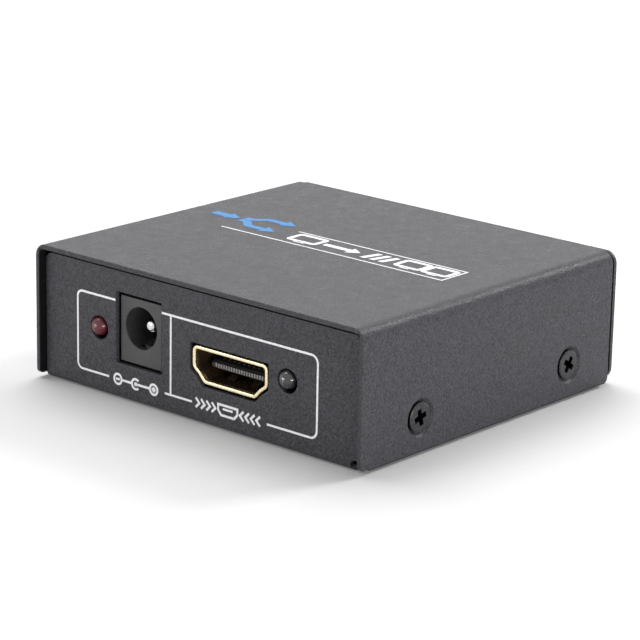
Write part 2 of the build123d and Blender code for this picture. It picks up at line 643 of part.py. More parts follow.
def contact(mouth, x, surface, out):
    """A flat contact on the tongue: out is 1 above it and -1 below it. It ends on the board."""
    far = surface + out * CONTACT_THICK
    board = BOARD_TOP - PORT_HEIGHT
    tip = TONGUE_FRONT + CONTACT_START
    drop = CONTACT_BACK if out > 0 else CONTACT_BACK - ROW_SHIFT
    upper = max(surface, far)
    lower = min(surface, far)
    with BuildPart() as strip:
        with BuildSketch(side_plane(mouth, x)):
            with BuildLine():
                Polyline(
                    (-tip, upper),
                    (-drop - CONTACT_THICK, upper),
                    (-drop - CONTACT_THICK, board + CONTACT_THICK),
                    (-drop - CONTACT_FOOT, board + CONTACT_THICK),
                    (-drop - CONTACT_FOOT, board),
                    (-drop, board),
                    (-drop, lower),
                    (-tip, lower),
                    close=True,
                )
            make_face()
        extrude(amount=CONTACT_WIDTH / 2, both=True)
    return strip.part


def video_contacts(mouth):
    """Nineteen contacts: ten above the tongue, nine below it."""
    with BuildPart() as contacts:
        for i in range(10):
            add(contact(mouth, (i - 4.5) * CONTACT_PITCH, TONGUE_TOP, 1))
        for i in range(9):
            add(contact(mouth, (i - 4) * CONTACT_PITCH, TONGUE_TOP - TONGUE_THICK, -1))
    return contacts.part


for port, mouth in PORT_MOUTHS.items():
    for piece, make in (("shell", video_shell), ("insulator", video_insulator), ("contacts", video_contacts)):
        made = make(mouth)
        made.label = port + "_" + piece
        export_step(made, "parts/" + made.label + ".step")


# Power socket body: a flange behind the cut-out and a rounded block with the bore
with BuildPart() as power_jack_body:
    with BuildSketch(SOCKET_MOUTH):
        with Locations((0, (SOCKET_TOP - SOCKET_BORE_Z + SOCKET_FLOOR) / 2)):
            Rectangle(2 * SOCKET_HALF, SOCKET_TOP - BOARD_TOP)
    extrude(amount=-SOCKET_FLANGE)
    block_top = SOCKET_TOP - SOCKET_BLOCK_DROP
    with BuildSketch(SOCKET_MOUTH) as block:
        with Locations((0, (block_top - SOCKET_BORE_Z + SOCKET_FLOOR) / 2)):
            Rectangle(2 * (SOCKET_HALF - SOCKET_BLOCK_INSET), block_top - BOARD_TOP)
        fillet(block.vertices().group_by(Axis.Z)[-1], radius=SOCKET_SHOULDER)
    extrude(amount=-SOCKET_LENGTH)
    fillet(power_jack_body.faces().sort_by(Axis.Y)[0].edges(), radius=SOCKET_EDGE)
    with BuildSketch(SOCKET_MOUTH):
        Circle(SOCKET_BORE)
    extrude(amount=-BORE_DEPTH, mode=Mode.SUBTRACT)
    bore_edges = power_jack_body.faces().sort_by(Axis.Y)[0].edges().filter_by(GeomType.CIRCLE)
    chamfer(bore_edges.sort_by(lambda edge: edge.length)[-1], length=BORE_BEVEL)
    # hole of the centre pin
    with BuildSketch(SOCKET_MOUTH.offset(-BORE_DEPTH)):
        Circle(PIN_RADIUS + PIN_FIT)
    extrude(amount=-SOCKET_LENGTH, mode=Mode.SUBTRACT)
    # groove and slot of the leaf spring
    groove_depth, groove_top = LEAF_GROOVE
    with BuildSketch(SOCKET_MOUTH.offset(-groove_depth)):
        with Locations((0, (SOCKET_FLOOR - groove_top) / 2)):
            Rectangle(2 * LEAF_HALF + LEAF_THICK, -SOCKET_FLOOR - groove_top)
    extrude(amount=-(BORE_DEPTH - groove_depth), mode=Mode.SUBTRACT)
power_jack_body.part.label = "power_jack_body"
export_step(power_jack_body.part, "parts/power_jack_body.step")


# Centre pin with a round tip
with BuildPart() as power_jack_pin:
    with BuildSketch(SOCKET_MOUTH.offset(-PIN_TIP)):
        Circle(PIN_RADIUS)
    extrude(amount=-(SOCKET_LENGTH - PIN_TIP))
    fillet(power_jack_pin.edges().sort_by(Axis.Y)[0], radius=PIN_ROUND)
power_jack_pin.part.label = "power_jack_pin"
export_step(power_jack_pin.part, "parts/power_jack_pin.step")


# Leaf spring that touches the plug's barrel, with its own leg through the board
with BuildPart() as power_jack_spring:
    leg = LEG_END - SOCKET_BORE_Z
    (lip_depth, lip_drop), (crown_depth, crown_drop) = LEAF_BENDS
    with BuildSketch(side_plane(SOCKET_MOUTH, 0)):
        with BuildLine():
            Polyline(
                (-lip_depth, -lip_drop),
                (-crown_depth, -crown_drop),
                (-LEAF_DEPTH, -LEAF_REST),
                (-LEAF_DEPTH, leg),
                (-LEAF_DEPTH + LEAF_THICK, leg),
                (-LEAF_DEPTH + LEAF_THICK, -LEAF_REST - LEAF_THICK),
                (-crown_depth, -crown_drop - LEAF_THICK),
                (-lip_depth, -lip_drop - LEAF_THICK),
                close=True,
            )
        make_face()
    extrude(amount=LEAF_HALF, both=True)
power_jack_spring.part.label = "power_jack_spring"
export_step(power_jack_spring.part, "parts/power_jack_spring.step")


# Flat terminals: one behind the pin, one on the body's right side
with BuildPart() as power_jack_terminals:
    leg = LEG_END - SOCKET_BORE_Z
    with BuildSketch(SOCKET_MOUTH.offset(-SOCKET_LENGTH)):
        with Locations((0, (PIN_TERMINAL_TOP + leg) / 2)):
            Rectangle(2 * TERMINAL_HALF, PIN_TERMINAL_TOP - leg)
    extrude(amount=-TERMINAL_THICK)
    with BuildSketch(side_plane(SOCKET_MOUTH, SOCKET_HALF)):
        with Locations((-SIDE_TERMINAL_DEPTH, (SIDE_TERMINAL_TOP + leg) / 2)):
            Rectangle(2 * TERMINAL_HALF, SIDE_TERMINAL_TOP - leg)
    extrude(amount=-TERMINAL_THICK)
power_jack_terminals.part.label = "power_jack_terminals"
export_step(power_jack_terminals.part, "parts/power_jack_terminals.step")


def lamp_body(mouth):
    """Moulded lamp: a barrel, a domed end and a flange, with two bores for the leads."""
    dome = LAMP_RADIUS
    with BuildPart() as lamp:
        with BuildSketch(side_plane(mouth, 0)):
            with BuildLine():
                Polyline(
                    (0, LAMP_RADIUS),
                    (-LAMP_BARREL + LAMP_FLANGE_THICK, LAMP_RADIUS),
                    (-LAMP_BARREL + LAMP_FLANGE_THICK, LAMP_FLANGE),
                    (-LAMP_BARREL, LAMP_FLANGE),
                    (-LAMP_BARREL, 0),
                    (dome, 0),
                )
                RadiusArc((dome, 0), (0, LAMP_RADIUS), -LAMP_RADIUS)
            make_face()
        revolve(axis=Axis(mouth.origin, mouth.z_dir))
        with BuildSketch(mouth.offset(-LAMP_BARREL)):
            with Locations((-LEAD_PITCH / 2, 0), (LEAD_PITCH / 2, 0)):
                Rectangle(2 * (LEAD_HALF + LEAD_CLEARANCE), 2 * (LEAD_HALF + LEAD_CLEARANCE))
        extrude(amount=LEAD_IN_LAMP, mode=Mode.SUBTRACT)
    return lamp.part


def lamp_leads(mouth):
    """Two square leads that run back out of the lamp and turn down through the board."""
    height = mouth.origin.Z
    with BuildPart() as leads:
        for side in (-1, 1):
            with BuildSketch(side_plane(mouth, side * LEAD_PITCH / 2)):
                with BuildLine():
                    Polyline(
                        (-LAMP_BARREL + LEAD_IN_LAMP - 0.05, LEAD_HALF),
                        (-LAMP_BARREL - LEAD_BACK - LEAD_HALF, LEAD_HALF),
                        (-LAMP_BARREL - LEAD_BACK - LEAD_HALF, LEG_END - height),
                        (-LAMP_BARREL - LEAD_BACK + LEAD_HALF, LEG_END - height),
                        (-LAMP_BARREL - LEAD_BACK + LEAD_HALF, -LEAD_HALF),
                        (-LAMP_BARREL + LEAD_IN_LAMP - 0.05, -LEAD_HALF),
                        close=True,
                    )
                make_face()
            extrude(amount=LEAD_HALF, both=True)
    return leads.part


for lamp_node, mouths in (
    ("power_lamp", [LAMP_MOUTHS["power"]]),
    ("input_lamp", [LAMP_MOUTHS["input"]]),
    ("output_lamps", [LAMP_MOUTHS["output_1"], LAMP_MOUTHS["output_2"]]),
):
    with BuildPart() as bodies:
        for mouth in mouths:
            add(lamp_body(mouth))
    bodies.part.label = lamp_node
    export_step(bodies.part, "parts/" + lamp_node + ".step")
    leads_node = lamp_node.rstrip("s") + "_leads"
    with BuildPart() as lead_pairs:
        for mouth in mouths:
            add(lamp_leads(mouth))
    lead_pairs.part.label = leads_node
    export_step(lead_pairs.part, "parts/" + leads_node + ".step")


def gull_lead(plane, body_half, reach, rise, half_width):
    """A chip lead: out of the body's side, down, and flat on the board. The plane's x points out."""
    knee = body_half + LEAD_KNEE * reach
    toe = body_half + reach
    with BuildPart() as lead:
        with BuildSketch(plane):
            with BuildLine():
                Polyline(
                    (body_half, rise),
                    (knee, rise),
                    (knee, PART_LIFT + LEAD_SHEET),
                    (toe, PART_LIFT + LEAD_SHEET),
                    (toe, PART_LIFT),
                    (knee - LEAD_SHEET, PART_LIFT),
                    (knee - LEAD_SHEET, rise - LEAD_SHEET),
                    (body_half, rise - LEAD_SHEET),
                    close=True,
                )
            make_face()
        extrude(amount=half_width, both=True)
    return lead.part


# Splitter chip: a square body with leads on all four sides
with BuildPart() as splitter_chip:
    with BuildSketch(Plane((CHIP_PLACE[0], CHIP_PLACE[1], BOARD_TOP + CHIP_STANDOFF))):
        Rectangle(2 * CHIP_HALF, 2 * CHIP_HALF)
    extrude(amount=CHIP_HEIGHT)
    chamfer(splitter_chip.edges().group_by(Axis.Z)[-1], length=CHIP_EDGE)
    with BuildSketch(Plane((CHIP_PLACE[0], CHIP_PLACE[1], BOARD_TOP + CHIP_STANDOFF + CHIP_HEIGHT))):
        with Locations((CHIP_DOT[0] - CHIP_HALF, CHIP_HALF - CHIP_DOT[0])):
            Circle(CHIP_DOT[1])
    extrude(amount=-CHIP_DOT[2], mode=Mode.SUBTRACT)
splitter_chip.part.label = "splitter_chip"
export_step(splitter_chip.part, "parts/splitter_chip.step")

with BuildPart() as splitter_chip_leads:
    for out, along in (((1, 0), (0, 1)), ((-1, 0), (0, -1)), ((0, 1), (-1, 0)), ((0, -1), (1, 0))):
        for i in range(CHIP_LEADS):
            step = (i - (CHIP_LEADS - 1) / 2) * CHIP_PITCH
            place = (CHIP_PLACE[0] + along[0] * step, CHIP_PLACE[1] + along[1] * step, BOARD_TOP)
            lead_plane = Plane(place, x_dir=(*out, 0), z_dir=(out[1], -out[0], 0))
            rise = CHIP_STANDOFF + CHIP_LEAD_RISE
            add(gull_lead(lead_plane, CHIP_HALF, CHIP_LEAD_REACH, rise, CHIP_LEAD_HALF))
splitter_chip_leads.part.label = "splitter_chip_leads"
export_step(splitter_chip_leads.part, "parts/splitter_chip_leads.step")


# Memory chip with four leads on each side
with BuildPart() as memory_chip:
    with BuildSketch(Plane((MEMORY_PLACE[0], MEMORY_PLACE[1], BOARD_TOP + CHIP_STANDOFF))):
        Rectangle(2 * MEMORY_HALF[0], 2 * MEMORY_HALF[1])
    extrude(amount=MEMORY_HEIGHT)
    chamfer(memory_chip.edges().group_by(Axis.Z)[-1], length=CHIP_EDGE)
memory_chip.part.label = "memory_chip"
export_step(memory_chip.part, "parts/memory_chip.step")

with BuildPart() as memory_chip_leads:
    reach, rise, half_width = MEMORY_LEAD
    for out in (-1, 1):
        for i in range(MEMORY_LEADS):
            step = (i - (MEMORY_LEADS - 1) / 2) * MEMORY_PITCH
            place = (MEMORY_PLACE[0], MEMORY_PLACE[1] + step, BOARD_TOP)
            lead_plane = Plane(place, x_dir=(out, 0, 0), z_dir=(0, -out, 0))
            add(gull_lead(lead_plane, MEMORY_HALF[0], reach, CHIP_STANDOFF + rise, half_width))
memory_chip_leads.part.label = "memory_chip_leads"
export_step(memory_chip_leads.part, "parts/memory_chip_leads.step")


# Two voltage regulators, each with three leads and a wide cooling tab
with BuildPart() as voltage_regulators:
    with BuildSketch(Plane.XY.offset(BOARD_TOP + CHIP_STANDOFF)):
        with Locations(*REGULATOR_PLACES):
            Rectangle(2 * REGULATOR_HALF[0], 2 * REGULATOR_HALF[1])
    extrude(amount=REGULATOR_HEIGHT)
    chamfer(voltage_regulators.edges().group_by(Axis.Z)[-1], length=REGULATOR_EDGE)
voltage_regulators.part.label = "voltage_regulators"
export_step(voltage_regulators.part, "parts/voltage_regulators.step")

with BuildPart() as regulator_leads:
    reach, rise, half_width = REGULATOR_LEAD
    for x, y in REGULATOR_PLACES:
        for i in (-1, 0, 1):
            lead_plane = Plane((x, y + i * REGULATOR_PITCH, BOARD_TOP), x_dir=(1, 0, 0), z_dir=(0, -1, 0))
            add(gull_lead(lead_plane, REGULATOR_HALF[0], reach, CHIP_STANDOFF + rise, half_width))
        tab_plane = Plane((x, y, BOARD_TOP), x_dir=(-1, 0, 0), z_dir=(0, 1, 0))
        add(gull_lead(tab_plane, REGULATOR_HALF[0], reach, CHIP_STANDOFF + rise, REGULATOR_TAB_HALF))
regulator_leads.part.label = "regulator_leads"
export_step(regulator_leads.part, "parts/regulator_leads.step")


# Crystal in a low oval can, on two leads
with BuildPart() as crystal_can:
    with BuildSketch(Plane((CRYSTAL_PLACE[0], CRYSTAL_PLACE[1], BOARD_TOP + PART_LIFT))):
        SlotOverall(CRYSTAL_SPAN, CRYSTAL_WIDE)
    extrude(amount=CRYSTAL_FLANGE[1])
    with BuildSketch(Plane((CRYSTAL_PLACE[0], CRYSTAL_PLACE[1], BOARD_TOP + PART_LIFT))):
        SlotOverall(CRYSTAL_SPAN - CRYSTAL_FLANGE[0], CRYSTAL_WIDE - CRYSTAL_FLANGE[0])
    extrude(amount=CRYSTAL_HEIGHT)
    fillet(crystal_can.edges().group_by(Axis.Z)[-1], radius=CRYSTAL_ROUND)
crystal_can.part.label = "crystal_can"
export_step(crystal_can.part, "parts/crystal_can.step")

with BuildPart() as crystal_leads:
    with BuildSketch(Plane.XY.offset(LEG_END)):
        with Locations(*CRYSTAL_LEAD_PLACES):
            Circle(CRYSTAL_LEAD)
    extrude(amount=BOARD_TOP - LEG_END)
crystal_leads.part.label = "crystal_leads"
export_step(crystal_leads.part, "parts/crystal_leads.step")


# Electrolytic capacitors: aluminium cans on plastic bases
with BuildPart() as capacitor_bases:
    with BuildSketch(Plane.XY.offset(BOARD_TOP + PART_LIFT)) as bases:
        with Locations(*CAPACITOR_PLACES):
            Rectangle(2 * CAPACITOR_BASE, 2 * CAPACITOR_BASE)
        # one corner of each base is cut off, as its polarity mark
        marked = [
            corner for corner in bases.vertices() for x, y in CAPACITOR_PLACES
            if 0 < corner.X - x < 2 * CAPACITOR_BASE and 0 < corner.Y - y < 2 * CAPACITOR_BASE
        ]
        chamfer(marked, length=CAPACITOR_BASE_CORNER)
    extrude(amount=CAPACITOR_BASE_THICK)
capacitor_bases.part.label = "capacitor_bases"
export_step(capacitor_bases.part, "parts/capacitor_bases.step")

with BuildPart() as capacitor_cans:
    can_height = CAPACITOR_HEIGHT - CAPACITOR_BASE_THICK
    crimp_low, crimp_high, crimp_depth = CAPACITOR_GROOVE
    for x, y in CAPACITOR_PLACES:
        foot = (x, y, BOARD_TOP + PART_LIFT + CAPACITOR_BASE_THICK)
        with BuildSketch(Plane(foot, x_dir=(1, 0, 0), z_dir=(0, -1, 0))):
            with BuildLine():
                Polyline(
                    (0, 0),
                    (CAPACITOR_RADIUS, 0),
                    (CAPACITOR_RADIUS, crimp_low),
                    (CAPACITOR_RADIUS - crimp_depth, (crimp_low + crimp_high) / 2),
                    (CAPACITOR_RADIUS, crimp_high),
                    (CAPACITOR_RADIUS, can_height - CAPACITOR_EDGE[0]),
                    (CAPACITOR_RADIUS - CAPACITOR_EDGE[1], can_height),
                    (0, can_height),
                    close=True,
                )
            make_face()
        revolve(axis=Axis((x, y, 0), (0, 0, 1)))
capacitor_cans.part.label = "capacitor_cans"
export_step(capacitor_cans.part, "parts/capacitor_cans.step")


# Shielded power choke: a square block with a round core inside a ring gap
with BuildPart() as power_choke:
    with BuildSketch(Plane((CHOKE_PLACE[0], CHOKE_PLACE[1], BOARD_TOP + PART_LIFT))):
        RectangleRounded(2 * CHOKE_HALF, 2 * CHOKE_HALF, CHOKE_CORNER)
    extrude(amount=CHOKE_HEIGHT)
    with BuildSketch(Plane((CHOKE_PLACE[0], CHOKE_PLACE[1], BOARD_TOP + PART_LIFT + CHOKE_HEIGHT))):
        Circle(CHOKE_HALF - CHOKE_RING[0])
        Circle(CHOKE_HALF - CHOKE_RING[1], mode=Mode.SUBTRACT)
    extrude(amount=-CHOKE_RING[2], mode=Mode.SUBTRACT)
power_choke.part.label = "power_choke"
export_step(power_choke.part, "parts/power_choke.step")

with BuildPart() as protection_diode:
    with BuildSketch(Plane((DIODE_PLACE[0], DIODE_PLACE[1], BOARD_TOP + PART_LIFT))):
        Rectangle(DIODE_SIZE[0], DIODE_SIZE[1])
    extrude(amount=DIODE_SIZE[2])
    chamfer(protection_diode.edges().group_by(Axis.Z)[-1], length=DIODE_EDGE)
protection_diode.part.label = "protection_diode"
export_step(protection_diode.part, "parts/protection_diode.step")


def small_blocks(places, size):
    """Small surface parts of one size, each a chamfered block."""
    length, width, height = size
    with BuildPart() as blocks:
        with BuildSketch(Plane.XY.offset(BOARD_TOP + PART_LIFT)):
            with Locations(*places):
                Rectangle(length, width)
        extrude(amount=height)
        chamfer(blocks.edges().group_by(Axis.Z)[-1], length=SMALL_EDGE)
    return blocks.part


for node, places, size in (
    ("surge_arrays", SURGE_PLACES, SURGE_SIZE),
    ("chip_resistors", RESISTOR_PLACES, RESISTOR_SIZE),
    ("chip_capacitors", SMALL_CAPACITOR_PLACES, SMALL_CAPACITOR_SIZE),
):
    blocks = small_blocks(places, size)
    blocks.label = node
    export_step(blocks, "parts/" + node + ".step")
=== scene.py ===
import math

import bmesh
import bpy
from bpy.props import FloatProperty, FloatVectorProperty, PointerProperty
from mathutils import Matrix, Vector


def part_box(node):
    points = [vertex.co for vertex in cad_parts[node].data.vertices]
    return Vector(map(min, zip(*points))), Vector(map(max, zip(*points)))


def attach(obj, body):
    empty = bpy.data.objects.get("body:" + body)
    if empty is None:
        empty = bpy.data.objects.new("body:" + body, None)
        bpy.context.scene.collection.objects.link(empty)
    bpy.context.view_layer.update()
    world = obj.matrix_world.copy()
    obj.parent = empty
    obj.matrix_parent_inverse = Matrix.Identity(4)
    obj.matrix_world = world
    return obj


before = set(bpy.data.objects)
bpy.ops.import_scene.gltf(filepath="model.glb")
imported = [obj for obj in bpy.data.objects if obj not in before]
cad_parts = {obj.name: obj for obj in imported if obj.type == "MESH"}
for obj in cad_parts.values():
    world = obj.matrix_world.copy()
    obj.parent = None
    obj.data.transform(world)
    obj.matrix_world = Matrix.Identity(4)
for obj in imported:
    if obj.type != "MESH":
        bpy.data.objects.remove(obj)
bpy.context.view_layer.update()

bl_info = {
    "name": "Video splitter",
    "version": (1, 0, 0),
    "blender": (4, 5, 0),
    "location": "3D View > Sidebar > Splitter",
    "description": "Finishes, printed marks, lamps and stage of a small video splitter",
    "category": "Object",
}

MM = 0.001

# Faces that carry print, taken from the packed model
TRAY_LOW, TRAY_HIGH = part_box("bottom_tray")
COVER_LOW, COVER_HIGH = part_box("top_cover")

# A print is drawn in millimetres: first axis to the reader's right, second up the print
FRONT_PRINT = Matrix(((MM, 0, 0, 0), (0, 0, -MM, TRAY_LOW.y), (0, MM, 0, 0), (0, 0, 0, 1)))
REAR_PRINT = Matrix(((-MM, 0, 0, 0), (0, 0, MM, TRAY_HIGH.y), (0, MM, 0, 0), (0, 0, 0, 1)))
TOP_PRINT = Matrix(((MM, 0, 0, 0), (0, MM, 0, 0), (0, 0, MM, COVER_HIGH.z), (0, 0, 0, 1)))
FRAME_TOP, FRAME_BOTTOM = 15.64, 3.13       # lines round the ports of both panels
MARK = 0.38                                 # stroke of the small marks
INK_ROOT = 0.01                             # ink reaches this far into the coat

# Sockets of a Mix node that mixes colours, by their place
MIX_FACTOR, MIX_FIRST, MIX_SECOND, MIX_RESULT = 0, 6, 7, 2


# Settings

class SplitterPaintSettings(bpy.types.PropertyGroup):
    """Powder coat of the cover and the tray."""

    tone: FloatVectorProperty(
        name="Coat tone", description="Colour of the powder coat", subtype="COLOR",
        size=3, min=0, max=1, default=(0.0570, 0.0565, 0.0637),
    )
    grain: FloatProperty(
        name="Grain size", description="Width of one grain of the coat",
        unit="LENGTH", subtype="DISTANCE", precision=5, min=0.00005, default=0.00030,
    )
    depth: FloatProperty(
        name="Grain depth", description="Height of the grain above its hollows",
        unit="LENGTH", subtype="DISTANCE", precision=6, min=0, default=0.000085,
    )
    roughness: FloatProperty(
        name="Roughness", description="Roughness of the coat between its grains",
        subtype="FACTOR", min=0, max=1, default=0.31,
    )
    # Painted shade: this near-black tone is painted on the inner faces of the case in place of the shade
    # inside it.
    inside: FloatVectorProperty(
        name="Inside tone", description="Colour of the thin coat inside the case", subtype="COLOR",
        size=3, min=0, max=1, default=(0.008, 0.008, 0.009),
    )


class SplitterPrintSettings(bpy.types.PropertyGroup):
    """Screen-printed marks."""

    line: FloatProperty(
        name="Line width", description="Width of the lines round the ports",
        unit="LENGTH", subtype="DISTANCE", precision=5, min=0.0001, default=0.00034,
    )
    thickness: FloatProperty(
        name="Ink thickness", description="Height of the ink above the coat",
        unit="LENGTH", subtype="DISTANCE", precision=6, min=0.00001, default=0.00003,
    )
    white: FloatVectorProperty(
        name="White ink", description="Colour of the lines and marks", subtype="COLOR",
        size=3, min=0, max=1, default=(0.93, 0.93, 0.94),
    )
    blue: FloatVectorProperty(
        name="Blue ink", description="Colour of the fork mark on the cover", subtype="COLOR",
        size=3, min=0, max=1, default=(0.035, 0.22, 0.52),
    )


class SplitterMetalSettings(bpy.types.PropertyGroup):
    """Plated and bare metal."""

    gold: FloatVectorProperty(
        name="Gold plating", description="Colour of the port shells", subtype="COLOR",
        size=3, min=0, max=1, default=(0.95, 0.80, 0.52),
    )
    # Painted shade: dark, dull tone painted inside the port shells for the shade there
    port_shade: FloatVectorProperty(
        name="Inside of the ports", description="Colour of the shells behind their rims", subtype="COLOR",
        size=3, min=0, max=1, default=(0.040, 0.024, 0.014),
    )
    steel: FloatVectorProperty(
        name="Bright steel", description="Colour of the socket's pin", subtype="COLOR",
        size=3, min=0, max=1, default=(0.86, 0.86, 0.87),
    )
    screw: FloatVectorProperty(
        name="Screw black", description="Colour of the side screws", subtype="COLOR",
        size=3, min=0, max=1, default=(0.030, 0.030, 0.033),
    )


class SplitterLampSettings(bpy.types.PropertyGroup):
    """Moulded lamps."""

    red: FloatVectorProperty(
        name="Red lamp", description="Colour of the power lamp", subtype="COLOR",
        size=3, min=0, max=1, default=(0.13, 0.004, 0.013),
    )
    clear: FloatVectorProperty(
        name="Clear lamp", description="Tint of the signal lamps", subtype="COLOR",
        size=3, min=0, max=1, default=(0.026, 0.028, 0.031),
    )


class SplitterStageSettings(bpy.types.PropertyGroup):
    """Floor, light and camera."""

    floor: FloatVectorProperty(
        name="Floor", description="Colour of the floor", subtype="COLOR",
        size=3, min=0, max=1, default=(0.88, 0.88, 0.88),
    )
    ambient: FloatProperty(
        name="Room light", description="Strength of the even light from all round",
        min=0, default=0.22,
    )
    azimuth: FloatProperty(
        name="Camera azimuth", description="Turn of the camera to the object's right",
        subtype="ANGLE", default=math.radians(41.091),
    )
    elevation: FloatProperty(
        name="Camera elevation", description="Height of the camera above the floor, as an angle",
        subtype="ANGLE", default=math.radians(16.453),
    )
    roll: FloatProperty(
        name="Camera roll", description="Turn of the camera about its own line of sight",
        subtype="ANGLE", default=math.radians(1.13),
    )
    distance: FloatProperty(
        name="Camera distance", description="From the camera to the point it looks at",
        unit="LENGTH", subtype="DISTANCE", min=0.1, default=0.42703,
    )
    lens: FloatProperty(
        name="Focal length", description="Focal length of the camera, in millimetres",
        min=10, default=152.59,
    )
    aim: FloatVectorProperty(
        name="Camera aim", description="Point that the camera looks at", subtype="XYZ",
        unit="LENGTH", size=3, precision=5, default=(-0.0022034, 0.0004191, 0.0092342),
    )


# Finishes

def new_finish(name, roughness, **sockets):
    """A material with one shader; a socket's name is written with _ for its spaces."""
    material = bpy.data.materials.new(name)
    material.use_nodes = True
    tree = material.node_tree
    shader = tree.nodes["Principled BSDF"]
    shader.inputs["Roughness"].default_value = roughness
    for socket, value in sockets.items():
        shader.inputs[socket.replace("_", " ")].default_value = value
    return material, tree, shader


def own_place(tree, stretch=(1, 1, 1)):
    """Coordinates of the piece itself, stretched along its axes."""
    place = tree.nodes.new("ShaderNodeTexCoord")
    mapping = tree.nodes.new("ShaderNodeMapping")
    mapping.inputs["Scale"].default_value = stretch
    tree.links.new(place.outputs["Object"], mapping.inputs["Vector"])
    return mapping.outputs["Vector"]


def grain_noise(tree, size, detail=2.0, stretch=(1, 1, 1)):
    """Noise with grains of that size, in metres."""
    noise = tree.nodes.new("ShaderNodeTexNoise")
    noise.inputs["Scale"].default_value = 1 / size
    noise.inputs["Detail"].default_value = detail
    tree.links.new(own_place(tree, stretch), noise.inputs["Vector"])
    return noise.outputs["Fac"]


def tone_between(tree, value, dark, light, low=0.3, high=0.7):
    """Colour that runs from dark to light as the value runs from low to high."""
    ramp = tree.nodes.new("ShaderNodeValToRGB")
    ramp.color_ramp.elements[0].position = low
    ramp.color_ramp.elements[1].position = high
    ramp.color_ramp.elements[0].color = (*dark, 1)
    ramp.color_ramp.elements[1].color = (*light, 1)
    tree.links.new(value, ramp.inputs["Fac"])
    return ramp.outputs["Color"]


def number_between(tree, value, start, end, low=0.3, high=0.7):
    """Number that runs from start to end as the value runs from low to high."""
    span = tree.nodes.new("ShaderNodeMapRange")
    for socket, number in (("From Min", low), ("From Max", high), ("To Min", start), ("To Max", end)):
        span.inputs[socket].default_value = number
    tree.links.new(value, span.inputs["Value"])
    return span.outputs["Result"]


def raised(tree, value, depth, normal=None):
    """Surface raised by the value, up to depth metres."""
    bump = tree.nodes.new("ShaderNodeBump")
    bump.inputs["Distance"].default_value = depth
    tree.links.new(value, bump.inputs["Height"])
    if normal is not None:
        tree.links.new(normal, bump.inputs["Normal"])
    return bump.outputs["Normal"]


def scaled(tone, factor):
    """The same colour, darker or lighter."""
    return tuple(min(1.0, channel * factor) for channel in tone)


def computed(tree, operation, first, second):
    """Result of a Math node. Each side is a socket or a number."""
    node = tree.nodes.new("ShaderNodeMath")
    node.operation = operation
    for socket, side in zip(node.inputs, (first, second)):
        if isinstance(side, (int, float)):
            socket.default_value = side
        else:
            tree.links.new(side, socket)
    return node.outputs[0]


def within(tree, value, low, high):
    """1 where the value lies between low and high, else 0."""
    above = computed(tree, "GREATER_THAN", value, low)
    below = computed(tree, "LESS_THAN", value, high)
    return computed(tree, "MULTIPLY", above, below)


def inside_of(tree, low, high):
    """1 inside a box of the piece's own coordinates, else 0."""
    place = tree.nodes.new("ShaderNodeSeparateXYZ")
    tree.links.new(own_place(tree), place.inputs[0])
    x, y, z = (within(tree, place.outputs[i], low[i], high[i]) for i in range(3))
    return computed(tree, "MULTIPLY", computed(tree, "MULTIPLY", x, y), z)


def painted_shade_inside(tree, shader, low, high, tone):
    """Painted shade: inside a box of the piece's own coordinates the shader turns darker and, if metal,
    duller, in place of the shade that falls there.
    """
    outside = shader.inputs["Base Color"].links[0].from_socket
    mask = inside_of(tree, low, high)
    shade_colour = tone_between(tree, grain_noise(tree, 0.0004), scaled(tone, 0.7), scaled(tone, 1.3))
    choice = tree.nodes.new("ShaderNodeMix")
    choice.data_type = "RGBA"
    tree.links.new(mask, choice.inputs[MIX_FACTOR])
    tree.links.new(outside, choice.inputs[MIX_FIRST])
    tree.links.new(shade_colour, choice.inputs[MIX_SECOND])
    tree.links.new(choice.outputs[MIX_RESULT], shader.inputs["Base Color"])
    level = shader.inputs["Metallic"].default_value
    if level:
        tree.links.new(number_between(tree, mask, level, 0.1 * level, 0, 1), shader.inputs["Metallic"])


def powder_coat(name, paint, low, high):
    """Black powder coat: fine grain, lighter on its crests, and faint broad waves.
    Inside the box from low to high the coat is painted near black, as painted shade inside the case."""
    material, tree, shader = new_finish(name, paint.roughness, Specular_IOR_Level=0.14)
    grain = grain_noise(tree, paint.grain, 3.0)
    waves = grain_noise(tree, 7 * paint.grain, 1.0)
    colour = tone_between(tree, grain, scaled(paint.tone, 0.6), scaled(paint.tone, 1.6))
    tree.links.new(colour, shader.inputs["Base Color"])
    painted_shade_inside(tree, shader, low, high, paint.inside)
    rough = number_between(tree, waves, paint.roughness - 0.05, paint.roughness + 0.05)
    tree.links.new(rough, shader.inputs["Roughness"])
    normal = raised(tree, waves, 0.2 * paint.depth)
    tree.links.new(raised(tree, grain, paint.depth, normal), shader.inputs["Normal"])
    return material


def screen_ink(name, tone, paint):
    """Screen-printed ink: thin, so the grain of the coat shows in it."""
    material, tree, shader = new_finish(name, 0.5)
    grain = grain_noise(tree, paint.grain, 3.0)
    colour = tone_between(tree, grain, scaled(tone, 0.9), scaled(tone, 1.06), 0.25, 0.5)
    tree.links.new(colour, shader.inputs["Base Color"])
    tree.links.new(number_between(tree, grain, 0.42, 0.6), shader.inputs["Roughness"])
    tree.links.new(raised(tree, grain, 0.3 * paint.depth), shader.inputs["Normal"])
    return material


def plated(name, tone, roughness, grain=0.00025, depth=0.000003, dull=0.75, dark=None):
    """Plated metal with a faint uneven grain and duller hollows. If dark is given, it is the
    low and the high corner of a box and the tone of painted shade inside it, where the metal is painted
    darker and duller."""
    material, tree, shader = new_finish(name, roughness, Metallic=1.0)
    noise = grain_noise(tree, grain, 3.0)
    clouds = grain_noise(tree, 0.003, 2.0)
    tree.links.new(tone_between(tree, clouds, scaled(tone, dull), tone), shader.inputs["Base Color"])
    if dark:
        painted_shade_inside(tree, shader, *dark)
    rough = number_between(tree, noise, 0.7 * roughness, 1.3 * roughness)
    tree.links.new(rough, shader.inputs["Roughness"])
    tree.links.new(raised(tree, noise, depth), shader.inputs["Normal"])
    return material


